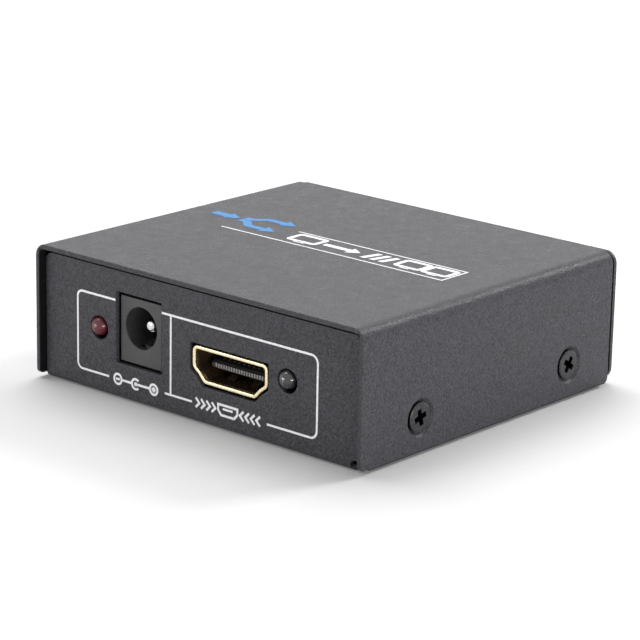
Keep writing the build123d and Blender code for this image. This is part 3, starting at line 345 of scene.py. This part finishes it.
def turned_black(name, tone, face):
    """Black oxide on a screw: glossy, with painted shade below its face, which lies that far out: the cross
    slots are painted near black.
    """
    material, tree, shader = new_finish(name, 0.28, Metallic=0.35)
    noise = grain_noise(tree, 0.0002, 2.0)
    tree.links.new(
        tone_between(tree, noise, scaled(tone, 0.6), scaled(tone, 1.6)), shader.inputs["Base Color"]
    )
    # Painted shade: the cross slots below the face are painted near black
    painted_shade_inside(tree, shader, (-face, -1, -1), (face, 1, 1), scaled(tone, 0.02))
    tree.links.new(number_between(tree, noise, 0.2, 0.36), shader.inputs["Roughness"])
    tree.links.new(raised(tree, noise, 0.000005), shader.inputs["Normal"])
    return material


def moulded(name, tone, roughness, grain=0.00018, depth=0.000005):
    """Moulded plastic or resin with a fine matt skin."""
    material, tree, shader = new_finish(name, roughness)
    skin = grain_noise(tree, grain, 2.0)
    flow = grain_noise(tree, 0.004, 2.0)
    tree.links.new(
        tone_between(tree, flow, scaled(tone, 0.85), scaled(tone, 1.15)), shader.inputs["Base Color"]
    )
    rough = number_between(tree, skin, roughness - 0.06, roughness + 0.06)
    tree.links.new(rough, shader.inputs["Roughness"])
    tree.links.new(raised(tree, skin, depth), shader.inputs["Normal"])
    return material


def cast_epoxy(name, tone, roughness, **sockets):
    """Cast epoxy of a lamp: smooth, with a faint flow in its tint."""
    material, tree, shader = new_finish(name, roughness, **sockets)
    flow = grain_noise(tree, 0.0015, 2.0)
    tree.links.new(
        tone_between(tree, flow, scaled(tone, 0.88), tone), shader.inputs["Base Color"]
    )
    tree.links.new(raised(tree, flow, 0.000004), shader.inputs["Normal"])
    return material


def solder_mask():
    """Green board: lighter tracks under the mask, and a woven base that shows a little."""
    material, tree, shader = new_finish("solder mask", 0.3)
    tracks = tree.nodes.new("ShaderNodeTexBrick")
    tracks.inputs["Scale"].default_value = 160
    tracks.inputs["Mortar Size"].default_value = 0.035
    tracks.inputs["Color1"].default_value = (0.012, 0.105, 0.045, 1)
    tracks.inputs["Color2"].default_value = (0.014, 0.125, 0.052, 1)
    tracks.inputs["Mortar"].default_value = (0.03, 0.24, 0.10, 1)
    tree.links.new(own_place(tree), tracks.inputs["Vector"])
    tree.links.new(tracks.outputs["Color"], shader.inputs["Base Color"])
    weave = grain_noise(tree, 0.0006, 1.0, (1, 3, 1))
    tree.links.new(number_between(tree, weave, 0.24, 0.38), shader.inputs["Roughness"])
    normal = raised(tree, tracks.outputs["Fac"], 0.00002)
    tree.links.new(raised(tree, weave, 0.000004, normal), shader.inputs["Normal"])
    return material


def dress(material, slot, *names):
    """Gives CAD nodes their finish."""
    for name in names:
        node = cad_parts[name]
        node.data.materials.clear()
        node.data.materials.append(material)


# Flat shapes that are raised into thin solids. Drawn in millimetres.

def rounded_path(corners, radius, steps=8):
    """A path through the corners whose inner corners are rounded."""
    points = [Vector(corner) for corner in corners]
    path = [points[0]]
    for before, corner, after in zip(points, points[1:], points[2:]):
        into = (before - corner).normalized()
        out = (after - corner).normalized()
        half = into.angle(out) / 2
        start = corner + into * radius / math.tan(half)
        end = corner + out * radius / math.tan(half)
        centre = corner + (into + out).normalized() * radius / math.sin(half)
        turn = (start - centre).angle_signed(end - centre)
        for i in range(steps + 1):
            spoke = start - centre
            spoke.rotate(Matrix.Rotation(-turn * i / steps, 2))
            path.append(centre + spoke)
    path.append(points[-1])
    return path


def arc_path(centre, radius, start=0.0, sweep=360.0, steps=40):
    """Points round a circle, from start through sweep degrees."""
    points = []
    last = steps if sweep == 360.0 else steps + 1
    for i in range(last):
        angle = math.radians(start + sweep * i / steps)
        points.append(Vector((centre[0] + radius * math.cos(angle), centre[1] + radius * math.sin(angle))))
    return points


def patch(sheet, outline, low, high):
    """A filled shape, raised from low to high."""
    low_loop = [sheet.verts.new((x, y, low)) for x, y in outline]
    high_loop = [sheet.verts.new((x, y, high)) for x, y in outline]
    count = len(low_loop)
    for i in range(count):
        j = (i + 1) % count
        sheet.faces.new((low_loop[i], low_loop[j], high_loop[j], high_loop[i]))
    sheet.faces.new(low_loop[::-1])
    sheet.faces.new(high_loop)


def stroke(sheet, path, width, low, high, closed=False):
    """A line of that width along the path, raised from low to high."""
    points = [Vector(point) for point in path]
    count = len(points)
    left, right = [], []
    for i, point in enumerate(points):
        normals = []
        for j, sign in ((i - 1, 1), (i + 1, -1)):
            if closed or 0 <= j < count:
                along = (point - points[j % count]) * sign
                normals.append(Vector((-along.y, along.x)).normalized())
        side = normals[0]
        if len(normals) == 2:
            side = (normals[0] + normals[1]) / (1 + normals[0].dot(normals[1]))
        left.append(point + side * width / 2)
        right.append(point - side * width / 2)
    if not closed:
        patch(sheet, right + left[::-1], low, high)
        return
    rows = [
        [sheet.verts.new((*point, height)) for point in line]
        for line, height in ((right, low), (left, low), (left, high), (right, high))
    ]
    for i in range(count):
        j = (i + 1) % count
        for near, far in zip(rows, rows[1:] + rows[:1]):
            sheet.faces.new((near[i], near[j], far[j], far[i]))


def raise_piece(name, sheet, placement, material, bevel=0.0):
    """Turns the drawn shapes into a piece that rides on the case."""
    if not sheet.faces:
        raise RuntimeError("nothing was drawn for " + name)
    sheet.transform(placement)
    bmesh.ops.recalc_face_normals(sheet, faces=sheet.faces)
    mesh = bpy.data.meshes.new(name)
    sheet.to_mesh(mesh)
    sheet.free()
    mesh.materials.append(material)
    piece = bpy.data.objects.new(name, mesh)
    bpy.context.scene.collection.objects.link(piece)
    if bevel:
        rounding = piece.modifiers.new("rounding", "BEVEL")
        rounding.width = bevel
        rounding.segments = 2
        rounding.limit_method = "ANGLE"
    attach(piece, "root")


class InkSheet:
    """Marks of one print, all of the same thickness."""

    CORNER = 0.5                # rounding of a screen
    FOOT_GAP, FOOT_REACH = 0.2, 0.75        # below a screen, to the top and to the bottom of its foot

    def __init__(self, thickness):
        self.drawn = bmesh.new()
        self.low = -INK_ROOT
        self.high = thickness / MM

    def line(self, path, width, closed=False):
        stroke(self.drawn, path, width, self.low, self.high, closed)

    def fill(self, outline):
        patch(self.drawn, outline, self.low, self.high)

    def chevrons(self, left, middle, height, count, pitch, thick):
        """A row of arrowheads that point to the right, or to the left if pitch is negative."""
        tip = math.copysign(height / 2, pitch)
        for i in range(count):
            x = left + i * pitch
            self.line([(x, middle - height / 2), (x + tip, middle), (x, middle + height / 2)], thick)

    def screen(self, centre, width, height, thick):
        """A screen on its foot."""
        x, y = centre
        half, rise = width / 2, height / 2
        corners = [(x, y + rise), (x - half, y + rise), (x - half, y - rise), (x + half, y - rise),
                   (x + half, y + rise), (x, y + rise)]
        self.line(rounded_path(corners, self.CORNER)[:-1], thick, closed=True)
        top, bottom = y - rise - self.FOOT_GAP, y - rise - self.FOOT_REACH
        self.fill([(x - 0.22 * width, bottom), (x + 0.22 * width, bottom),
                   (x + 0.08 * width, top), (x - 0.08 * width, top)])

    def arrow(self, start, end, thick, head):
        """A straight arrow with a filled head."""
        start, end = Vector(start), Vector(end)
        along = (end - start).normalized()
        side = Vector((-along.y, along.x))
        neck = end - along * head
        self.fill([start - side * thick / 2, neck - side * thick / 2, neck - side * head * 0.62, end,
                   neck + side * head * 0.62, neck + side * thick / 2, start + side * thick / 2])


def direction(azimuth, elevation):
    """Unit vector away from the object, to an azimuth from its front and an elevation."""
    flat = math.cos(elevation)
    return Vector((math.sin(azimuth) * flat, -math.cos(azimuth) * flat, math.sin(elevation)))


def port_outline(middle, centre, width, height):
    """Outline of a video port: flat top, lower corners drawn in."""
    half, rise = width / 2, height / 2
    return [(middle - half, centre + rise), (middle - half, centre - 0.1 * rise),
            (middle - 0.68 * half, centre - rise), (middle + 0.68 * half, centre - rise),
            (middle + half, centre - 0.1 * rise), (middle + half, centre + rise)]


# Operators

class SPLITTER_OT_case(bpy.types.Operator):
    """Powder coat on the cover and the tray, with painted shade on their inner faces"""

    bl_idname = "splitter.case"
    bl_label = "Coat the case"

    SHEET = 0.7 * MM            # a little less than the sheet, so that its inner face is taken into the painted shade

    def execute(self, context):
        paint = context.scene.splitter_paint
        # Painted shade: boxes over the inner faces of the cover and the tray, which are painted near black
        # for the shade inside the case
        room = Vector((self.SHEET, -1, self.SHEET))
        inner_low, inner_high = COVER_LOW + room, COVER_HIGH - room
        inner_low.z = -1
        dress(powder_coat("cover coat", paint, inner_low, inner_high), "case_paint", "top_cover")
        behind = Vector((1, -self.SHEET, 1))
        tray_low, tray_high = TRAY_LOW - behind, TRAY_HIGH + behind
        tray_low.z = self.SHEET
        tray = powder_coat("tray coat", paint, tray_low, tray_high)
        dress(tray, "case_paint", "bottom_tray")
        return {"FINISHED"}


class SPLITTER_OT_screws(bpy.types.Operator):
    """Black side screws, and the zinc-plated standoffs and screws under the board"""

    bl_idname = "splitter.screws"
    bl_label = "Finish the screws"

    SLOT = 0.15 * MM            # below this depth the cross slots are painted near black, as painted shade

    def execute(self, context):
        metal = context.scene.splitter_metal
        face = COVER_HIGH.x - self.SLOT
        dress(turned_black("black oxide", metal.screw, face), "screw_black", "side_screws")
        dress(plated("zinc", (0.6, 0.6, 0.59), 0.34), "standoff_steel", "board_standoffs")
        dress(plated("nickel", metal.steel, 0.22), "bright_steel", "board_screws")
        return {"FINISHED"}


class SPLITTER_OT_ports(bpy.types.Operator):
    """Gold shells, black insulators and contacts of the three video ports"""

    bl_idname = "splitter.ports"
    bl_label = "Finish the video ports"

    RIM = 0.75 * MM             # behind this depth the shells are painted dark and dull, as painted shade inside the ports

    # Ends of the contacts, in millimetres
    TIPS = 19
    TIP_PITCH = 0.52
    TIP_HALF = 0.14
    TIP_LOW, TIP_HIGH = 8.53, 9.20
    TIP_ROOT, TIP_RISE = 0.1, 0.06
    TIP_BEVEL = 0.04

    def execute(self, context):
        metal = context.scene.splitter_metal
        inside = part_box("input_shell")[0].y + self.RIM
        # Painted shade: the shells are painted dark and dull behind the rim
        gold = plated(
            "gold plating", metal.gold, 0.3, dull=0.92,
            dark=((-1, inside, -1), (1, -inside, 1), metal.port_shade),
        )
        black = moulded("insulator black", (0.018, 0.018, 0.019), 0.5)
        # Painted shade: the contacts and their tips inside the ports are painted darker than bare tin and
        # gold, for the shade there
        tin = plated("contact tin in painted shade", (0.30, 0.29, 0.28), 0.34)
        shade = plated("contact gold in painted shade", (0.10, 0.07, 0.04), 0.4)
        for port, placement in (("input", FRONT_PRINT), ("output_1", REAR_PRINT), ("output_2", REAR_PRINT)):
            dress(gold, "gold_plating", port + "_shell")
            dress(black, "black_plastic", port + "_insulator")
            dress(shade, "tinned_copper", port + "_contacts")
            self.contact_tips(port, placement, tin)
        return {"FINISHED"}

    def contact_tips(self, port, placement, tin):
        """Ends of the contacts, which show in the tip of the tongue."""
        low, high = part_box(port + "_insulator")
        ahead = placement.to_3x3().col[2].y
        tip = low.y if ahead < 0 else high.y
        depth = (tip - placement.translation.y) / ahead
        middle = (low.x + high.x) / 2 / placement[0][0]
        sheet = bmesh.new()
        for i in range(self.TIPS):
            x = middle + (i - (self.TIPS - 1) / 2) * self.TIP_PITCH
            outline = [(x - self.TIP_HALF, self.TIP_LOW), (x + self.TIP_HALF, self.TIP_LOW),
                       (x + self.TIP_HALF, self.TIP_HIGH), (x - self.TIP_HALF, self.TIP_HIGH)]
            patch(sheet, outline, depth - self.TIP_ROOT, depth + self.TIP_RISE)
        bevel = self.TIP_BEVEL * MM
        raise_piece(port + "_contact_tips", sheet, placement, tin, bevel)


class SPLITTER_OT_power_socket(bpy.types.Operator):
    """Body, pin, leaf spring and terminals of the power socket"""

    bl_idname = "splitter.power_socket"
    bl_label = "Finish the power socket"

    def execute(self, context):
        metal = context.scene.splitter_metal
        dress(moulded("socket black", (0.046, 0.046, 0.048), 0.44), "black_plastic", "power_jack_body")
        dress(plated("bright pin", metal.steel, 0.1), "bright_steel", "power_jack_pin")
        dress(plated("spring steel", metal.steel, 0.25), "bright_steel", "power_jack_spring")
        dress(plated("terminal tin", (0.66, 0.66, 0.64), 0.32), "tinned_copper", "power_jack_terminals")
        return {"FINISHED"}


class SPLITTER_OT_lamps(bpy.types.Operator):
    """Red power lamp, clear signal lamps and their leads"""

    bl_idname = "splitter.lamps"
    bl_label = "Finish the lamps"

    def execute(self, context):
        lamps = context.scene.splitter_lamps
        red = cast_epoxy(
            "red epoxy", lamps.red, 0.3, IOR=1.54, Transmission_Weight=0.15,
            Coat_Weight=0.25, Coat_Roughness=0.12,
        )
        clear = cast_epoxy(
            "clear epoxy", lamps.clear, 0.16, IOR=1.54, Transmission_Weight=0.35,
            Coat_Weight=0.8, Coat_Roughness=0.05,
        )
        tin = plated("lead tin", (0.64, 0.64, 0.62), 0.3)
        dress(red, "red_epoxy", "power_lamp")
        dress(clear, "clear_epoxy", "input_lamp", "output_lamps")
        dress(tin, "tinned_copper", "power_lamp_leads", "input_lamp_leads", "output_lamp_leads")
        return {"FINISHED"}


class SPLITTER_OT_board(bpy.types.Operator):
    """Circuit board and everything soldered to it"""

    bl_idname = "splitter.board"
    bl_label = "Finish the board"

    def execute(self, context):
        metal = context.scene.splitter_metal
        dress(solder_mask(), "board_green", "circuit_board")
        resin = moulded("chip resin", (0.030, 0.030, 0.031), 0.55)
        dress(
            resin, "chip_resin", "splitter_chip", "memory_chip", "voltage_regulators",
            "protection_diode", "surge_arrays",
        )
        tin = plated("solder tin", (0.66, 0.66, 0.64), 0.3)
        dress(
            tin, "tinned_copper", "splitter_chip_leads", "memory_chip_leads", "regulator_leads",
            "crystal_leads",
        )
        dress(plated("crystal can", metal.steel, 0.26), "bright_steel", "crystal_can")
        dress(plated("aluminium", (0.75, 0.75, 0.76), 0.3), "aluminium_can", "capacitor_cans")
        dress(moulded("base black", (0.02, 0.02, 0.02), 0.5), "black_plastic", "capacitor_bases")
        dress(moulded("ferrite", (0.07, 0.07, 0.072), 0.62), "ferrite", "power_choke")
        dress(moulded("film black", (0.03, 0.03, 0.03), 0.4), "ceramic", "chip_resistors")
        dress(moulded("ceramic", (0.34, 0.22, 0.13), 0.45), "ceramic", "chip_capacitors")
        return {"FINISHED"}


class SPLITTER_OT_front_print(bpy.types.Operator):
    """White lines and marks on the front panel"""

    bl_idname = "splitter.front_print"
    bl_label = "Print the front panel"

    LEFT, RIGHT = -25.42, 24.0
    SOCKET_LEFT, SOCKET_RIGHT = -17.15, -7.25
    DIVIDER = -5.37
    POWER_GAP = (-18.6, -6.6)   # the lower line is open here, for the marks
    INPUT_GAP = (-0.9, 14.3)
    PORT = 6.45                 # middle of the input port

    def execute(self, context):
        settings = context.scene.splitter_print
        width = settings.line / MM
        ink = InkSheet(settings.thickness)
        ink.line(rounded_path([
            (self.POWER_GAP[0], FRAME_BOTTOM), (self.LEFT, FRAME_BOTTOM), (self.LEFT, FRAME_TOP),
            (self.SOCKET_LEFT, FRAME_TOP)], 1.0), width)
        ink.line(rounded_path([
            (self.SOCKET_RIGHT, FRAME_TOP), (self.RIGHT, FRAME_TOP), (self.RIGHT, FRAME_BOTTOM),
            (self.INPUT_GAP[1], FRAME_BOTTOM)], 1.2), width)
        ink.line([(self.POWER_GAP[1], FRAME_BOTTOM), (self.INPUT_GAP[0], FRAME_BOTTOM)], width)
        ink.line([(self.DIVIDER, FRAME_BOTTOM + width / 2), (self.DIVIDER, FRAME_TOP - width / 2)], width)
        self.polarity_mark(ink)
        self.input_mark(ink)
        white = screen_ink("white ink", settings.white, context.scene.splitter_paint)
        raise_piece("front_print", ink.drawn, FRONT_PRINT, white)
        return {"FINISHED"}

    def polarity_mark(self, ink):
        """Plug polarity: minus in a ring on the sleeve, plus in a ring on the pin."""
        middle, radius, arm, dot = FRAME_BOTTOM, 0.8, 0.42, 0.33
        minus, sleeve, plus = -16.65, -12.8, -8.95
        for x in (minus, plus):
            ink.line(arc_path((x, middle), radius), MARK, closed=True)
            ink.line([(x - arm, middle), (x + arm, middle)], MARK)
        ink.line([(plus, middle + MARK / 2), (plus, middle + arm)], MARK)
        ink.line([(plus, middle - arm), (plus, middle - MARK / 2)], MARK)
        ink.line(arc_path((sleeve, middle), radius, 45, 270), MARK)
        ink.line([(minus + radius + MARK / 2, middle), (sleeve - radius - MARK / 2, middle)], MARK)
        ink.fill(arc_path((sleeve, middle), dot, steps=24))
        ink.line([(sleeve + dot, middle), (plus - radius - MARK / 2, middle)], MARK)

    def input_mark(self, ink):
        """A port outline between arrowheads that point into it."""
        middle, tongue = 3.2, 1.0
        ink.line(port_outline(self.PORT, middle, 3.9, 1.6), MARK, closed=True)
        ink.fill([(self.PORT - tongue, middle + 0.05), (self.PORT + tongue, middle + 0.05),
                  (self.PORT + tongue, middle + 0.38), (self.PORT - tongue, middle + 0.38)])
        ink.chevrons(self.PORT - 6.55, middle, 1.5, 4, 1.1, MARK)
        ink.chevrons(self.PORT + 6.5, middle, 1.5, 4, -1.1, MARK)


class SPLITTER_OT_rear_print(bpy.types.Operator):
    """White lines and plain numbers on the rear panel"""

    bl_idname = "splitter.rear_print"
    bl_label = "Print the rear panel"

    HALF = 26.0
    DIVIDER = 0.6
    PORTS = (-14.5, 10.5)       # middle of each port, from the reader's left
    GAP_HALF = 4.6              # the lower line is open this far to both sides of a port's middle
    NUMBER_SHIFT = 2.6          # a number stands this far left of its port's middle
    NUMBER_FOOT, NUMBER_HEIGHT = 2.2, 1.9

    def execute(self, context):
        settings = context.scene.splitter_print
        width = settings.line / MM
        ink = InkSheet(settings.thickness)
        gaps = [(middle - self.GAP_HALF, middle + self.GAP_HALF) for middle in self.PORTS]
        ink.line(rounded_path([
            (gaps[0][0], FRAME_BOTTOM), (-self.HALF, FRAME_BOTTOM), (-self.HALF, FRAME_TOP),
            (self.HALF, FRAME_TOP), (self.HALF, FRAME_BOTTOM), (gaps[1][1], FRAME_BOTTOM)], 1.1), width)
        ink.line([(gaps[0][1], FRAME_BOTTOM), (gaps[1][0], FRAME_BOTTOM)], width)
        ink.line([(self.DIVIDER, FRAME_BOTTOM + width / 2), (self.DIVIDER, FRAME_TOP - width / 2)], width)
        self.number_one(ink, self.PORTS[0] - self.NUMBER_SHIFT)
        self.number_two(ink, self.PORTS[1] - self.NUMBER_SHIFT)
        for middle in self.PORTS:
            ink.chevrons(middle - 0.8, FRAME_BOTTOM, 1.5, 4, 1.1, MARK)
        white = screen_ink("rear white ink", settings.white, context.scene.splitter_paint)
        raise_piece("rear_print", ink.drawn, REAR_PRINT, white)
        return {"FINISHED"}

    def number_one(self, ink, x):
        """The number 1: a flag and a stem."""
        foot, height = self.NUMBER_FOOT, self.NUMBER_HEIGHT
        ink.line([(x - 0.45, foot + height - 0.5), (x, foot + height - MARK / 2), (x, foot)], MARK)

    def number_two(self, ink, x):
        """The number 2: a bow on a straight base."""
        bow = 0.3 * self.NUMBER_HEIGHT
        upper = self.NUMBER_FOOT + self.NUMBER_HEIGHT - bow - MARK / 2
        base = self.NUMBER_FOOT + MARK / 2
        path = arc_path((x, upper), bow, 165, -195, 16)
        ink.line([*path, (x - bow, base + 0.12), (x - bow, base), (x + bow, base)], MARK)


class SPLITTER_OT_top_print(bpy.types.Operator):
    """Blue fork mark and white marks on the cover"""

    bl_idname = "splitter.top_print"
    bl_label = "Print the cover"

    LOWER, UPPER = -3.2, 3.0
    RIGHT = 24.8
    SCREEN_MIDDLE = 0.35
    STEM = 2.6                  # middle of the fork's stem
    BEGIN, SPREAD = 0.7, 2.5    # how far a prong's middle lies from the stem's, where it begins and ends
    PRONG = 1.35                # width of a prong

    def execute(self, context):
        settings = context.scene.splitter_print
        width = settings.line / MM
        white_marks = InkSheet(settings.thickness)
        white_marks.line([(-20.2, self.LOWER), (self.RIGHT, self.LOWER), (self.RIGHT, self.UPPER),
                          (-9.2, self.UPPER)], 0.9 * width)
        for x, wide in ((-5.0, 5.4), (16.4, 4.6), (21.7, 4.6)):
            white_marks.screen((x, self.SCREEN_MIDDLE), wide, 3.3, 0.8)
        white_marks.arrow((-1.2, 0.0), (6.2, 0.0), 1.1, 2.2)
        for x in (7.4, 9.2, 11.0):
            white_marks.fill([(x, -1.7), (x + 1.0, -1.7), (x + 1.9, 1.7), (x + 0.9, 1.7)])
        paint = context.scene.splitter_paint
        white = screen_ink("cover white ink", settings.white, paint)
        raise_piece("top_print_white", white_marks.drawn, TOP_PRINT, white)
        fork = InkSheet(settings.thickness)
        fork.arrow((-27.4, self.STEM), (-21.6, self.STEM), 1.7, 2.6)
        for side in (-1, 1):
            begin = self.STEM + side * self.BEGIN
            end = self.STEM + side * self.SPREAD
            prong = rounded_path([(-21.0, begin), (-19.4, begin), (-17.6, end), (-15.6, end)], 0.7)
            fork.line(prong, self.PRONG)
            fork.arrow((-15.6, end), (-11.8, end), self.PRONG, 2.5)
        blue = screen_ink("blue ink", settings.blue, paint)
        raise_piece("top_print_blue", fork.drawn, TOP_PRINT, blue)
        return {"FINISHED"}


class SPLITTER_OT_stage(bpy.types.Operator):
    """Pale floor, white room, soft lamps and the camera"""

    bl_idname = "splitter.stage"
    bl_label = "Set the stage"

    # Name, azimuth and elevation in degrees, distance, width and height in metres, power in watts
    LAMPS = (
        ("overhead soft box", 238.0, 62.0, 0.80, 0.90, 0.70, 6.6),
        ("rear soft box", 158.6, 39.0, 0.60, 0.16, 0.12, 1.4),
        ("right soft box", 78.0, 4.5, 0.60, 0.40, 0.07, 1.7),
        ("left front soft box", -30.0, 7.0, 0.80, 0.50, 0.15, 1.8),
    )
    FLOOR_HALF, FLOOR_THICK = 1.5, 0.01     # metres
    FLOOR_GLOW = 0.06           # lifts the floor to white where the camera sees it
    SENSOR = 36                 # width of the camera's sensor, in millimetres
    NEAREST = 0.01              # nearest thing that the camera sees, in metres

    def execute(self, context):
        settings = context.scene.splitter_stage
        self.lay_floor(settings)
        self.light_room(settings)
        for lamp in self.LAMPS:
            self.hang_lamp(*lamp)
        self.place_camera(settings)
        context.scene.view_settings.view_transform = "Standard"
        return {"FINISHED"}

    def seen_directly(self, tree):
        """1 for camera, glossy and transmission rays, 0 for light on the object."""
        path = tree.nodes.new("ShaderNodeLightPath")
        either = computed(tree, "MAXIMUM", path.outputs["Is Camera Ray"], path.outputs["Is Glossy Ray"])
        return computed(tree, "MAXIMUM", either, path.outputs["Is Transmission Ray"])

    def lay_floor(self, settings):
        """A wide pale slab whose top is the surface that the case stands on."""
        sheet = bmesh.new()
        half = self.FLOOR_HALF
        corners = [(-half, -half), (half, -half), (half, half), (-half, half)]
        patch(sheet, corners, -self.FLOOR_THICK, 0.0)
        bmesh.ops.recalc_face_normals(sheet, faces=sheet.faces)
        mesh = bpy.data.meshes.new("floor")
        sheet.to_mesh(mesh)
        sheet.free()
        floor = bpy.data.objects.new("floor", mesh)
        bpy.context.scene.collection.objects.link(floor)
        material, tree, shader = new_finish("pale floor", 0.9, Specular_IOR_Level=0.0)
        shader.inputs["Base Color"].default_value = (*settings.floor, 1)
        shader.inputs["Emission Color"].default_value = (1, 1, 1, 1)
        glow = computed(tree, "MULTIPLY", self.seen_directly(tree), self.FLOOR_GLOW)
        tree.links.new(glow, shader.inputs["Emission Strength"])
        mesh.materials.append(material)

    def light_room(self, settings):
        """Even light from all round, in a room that looks white."""
        world = bpy.data.worlds.new("room")
        bpy.context.scene.world = world
        world.use_nodes = True
        tree = world.node_tree
        even = tree.nodes["Background"]
        even.inputs["Color"].default_value = (1, 1, 1, 1)
        even.inputs["Strength"].default_value = settings.ambient
        white = tree.nodes.new("ShaderNodeBackground")
        white.inputs["Color"].default_value = (1, 1, 1, 1)
        white.inputs["Strength"].default_value = 1.0
        mix = tree.nodes.new("ShaderNodeMixShader")
        tree.links.new(self.seen_directly(tree), mix.inputs["Fac"])
        tree.links.new(even.outputs[0], mix.inputs[1])
        tree.links.new(white.outputs[0], mix.inputs[2])
        tree.links.new(mix.outputs[0], tree.nodes["World Output"].inputs["Surface"])

    def hang_lamp(self, name, azimuth, elevation, distance, width, height, power):
        """A soft box that faces the object."""
        toward = direction(math.radians(azimuth), math.radians(elevation))
        data = bpy.data.lights.new(name, "AREA")
        data.shape = "RECTANGLE"
        data.size = width
        data.size_y = height
        data.energy = power
        lamp = bpy.data.objects.new(name, data)
        turned = toward.to_track_quat("Z", "Y").to_matrix().to_4x4()
        lamp.matrix_world = Matrix.Translation(toward * distance) @ turned
        lamp.visible_camera = False
        bpy.context.scene.collection.objects.link(lamp)

    def place_camera(self, settings):
        """The camera looks at its aim, from the settings' angles and distance."""
        roll = settings.roll
        back = direction(settings.azimuth, settings.elevation)
        right = Vector((math.cos(settings.azimuth), math.sin(settings.azimuth), 0))
        up = back.cross(right)
        right, up = (
            right * math.cos(roll) + up * math.sin(roll),
            up * math.cos(roll) - right * math.sin(roll),
        )
        data = bpy.data.cameras.new("camera")
        data.lens = settings.lens
        data.sensor_width = self.SENSOR
        data.clip_start = self.NEAREST
        camera = bpy.data.objects.new("camera", data)
        turned = Matrix((right, up, back)).transposed().to_4x4()
        camera.matrix_world = Matrix.Translation(Vector(settings.aim) + back * settings.distance) @ turned
        bpy.context.scene.collection.objects.link(camera)
        bpy.context.scene.camera = camera


OPERATORS = (
    SPLITTER_OT_case,
    SPLITTER_OT_screws,
    SPLITTER_OT_ports,
    SPLITTER_OT_power_socket,
    SPLITTER_OT_lamps,
    SPLITTER_OT_board,
    SPLITTER_OT_front_print,
    SPLITTER_OT_rear_print,
    SPLITTER_OT_top_print,
    SPLITTER_OT_stage,
)

SETTINGS = (
    ("splitter_paint", SplitterPaintSettings),
    ("splitter_print", SplitterPrintSettings),
    ("splitter_metal", SplitterMetalSettings),
    ("splitter_lamps", SplitterLampSettings),
    ("splitter_stage", SplitterStageSettings),
)


class SPLITTER_PT_panel(bpy.types.Panel):
    """Lists the splitter's settings and pieces"""

    bl_idname = "SPLITTER_PT_panel"
    bl_label = "Video splitter"
    bl_space_type = "VIEW_3D"
    bl_region_type = "UI"
    bl_category = "Splitter"

    def draw(self, context):
        for name, group in SETTINGS:
            box = self.layout.box()
            box.label(text=group.__doc__)
            for setting in group.__annotations__:
                box.prop(getattr(context.scene, name), setting)
        for operator in OPERATORS:
            self.layout.operator(operator.bl_idname)


def register():
    for name, group in SETTINGS:
        bpy.utils.register_class(group)
        setattr(bpy.types.Scene, name, PointerProperty(type=group))
    for operator in OPERATORS:
        bpy.utils.register_class(operator)
    bpy.utils.register_class(SPLITTER_PT_panel)


def unregister():
    bpy.utils.unregister_class(SPLITTER_PT_panel)
    for operator in reversed(OPERATORS):
        bpy.utils.unregister_class(operator)
    for name, group in reversed(SETTINGS):
        delattr(bpy.types.Scene, name)
        bpy.utils.unregister_class(group)


def main():
    register()
    for operator in OPERATORS:
        group, name = operator.bl_idname.split(".")
        getattr(getattr(bpy.ops, group), name)()


if __name__ == "__main__":
    main()
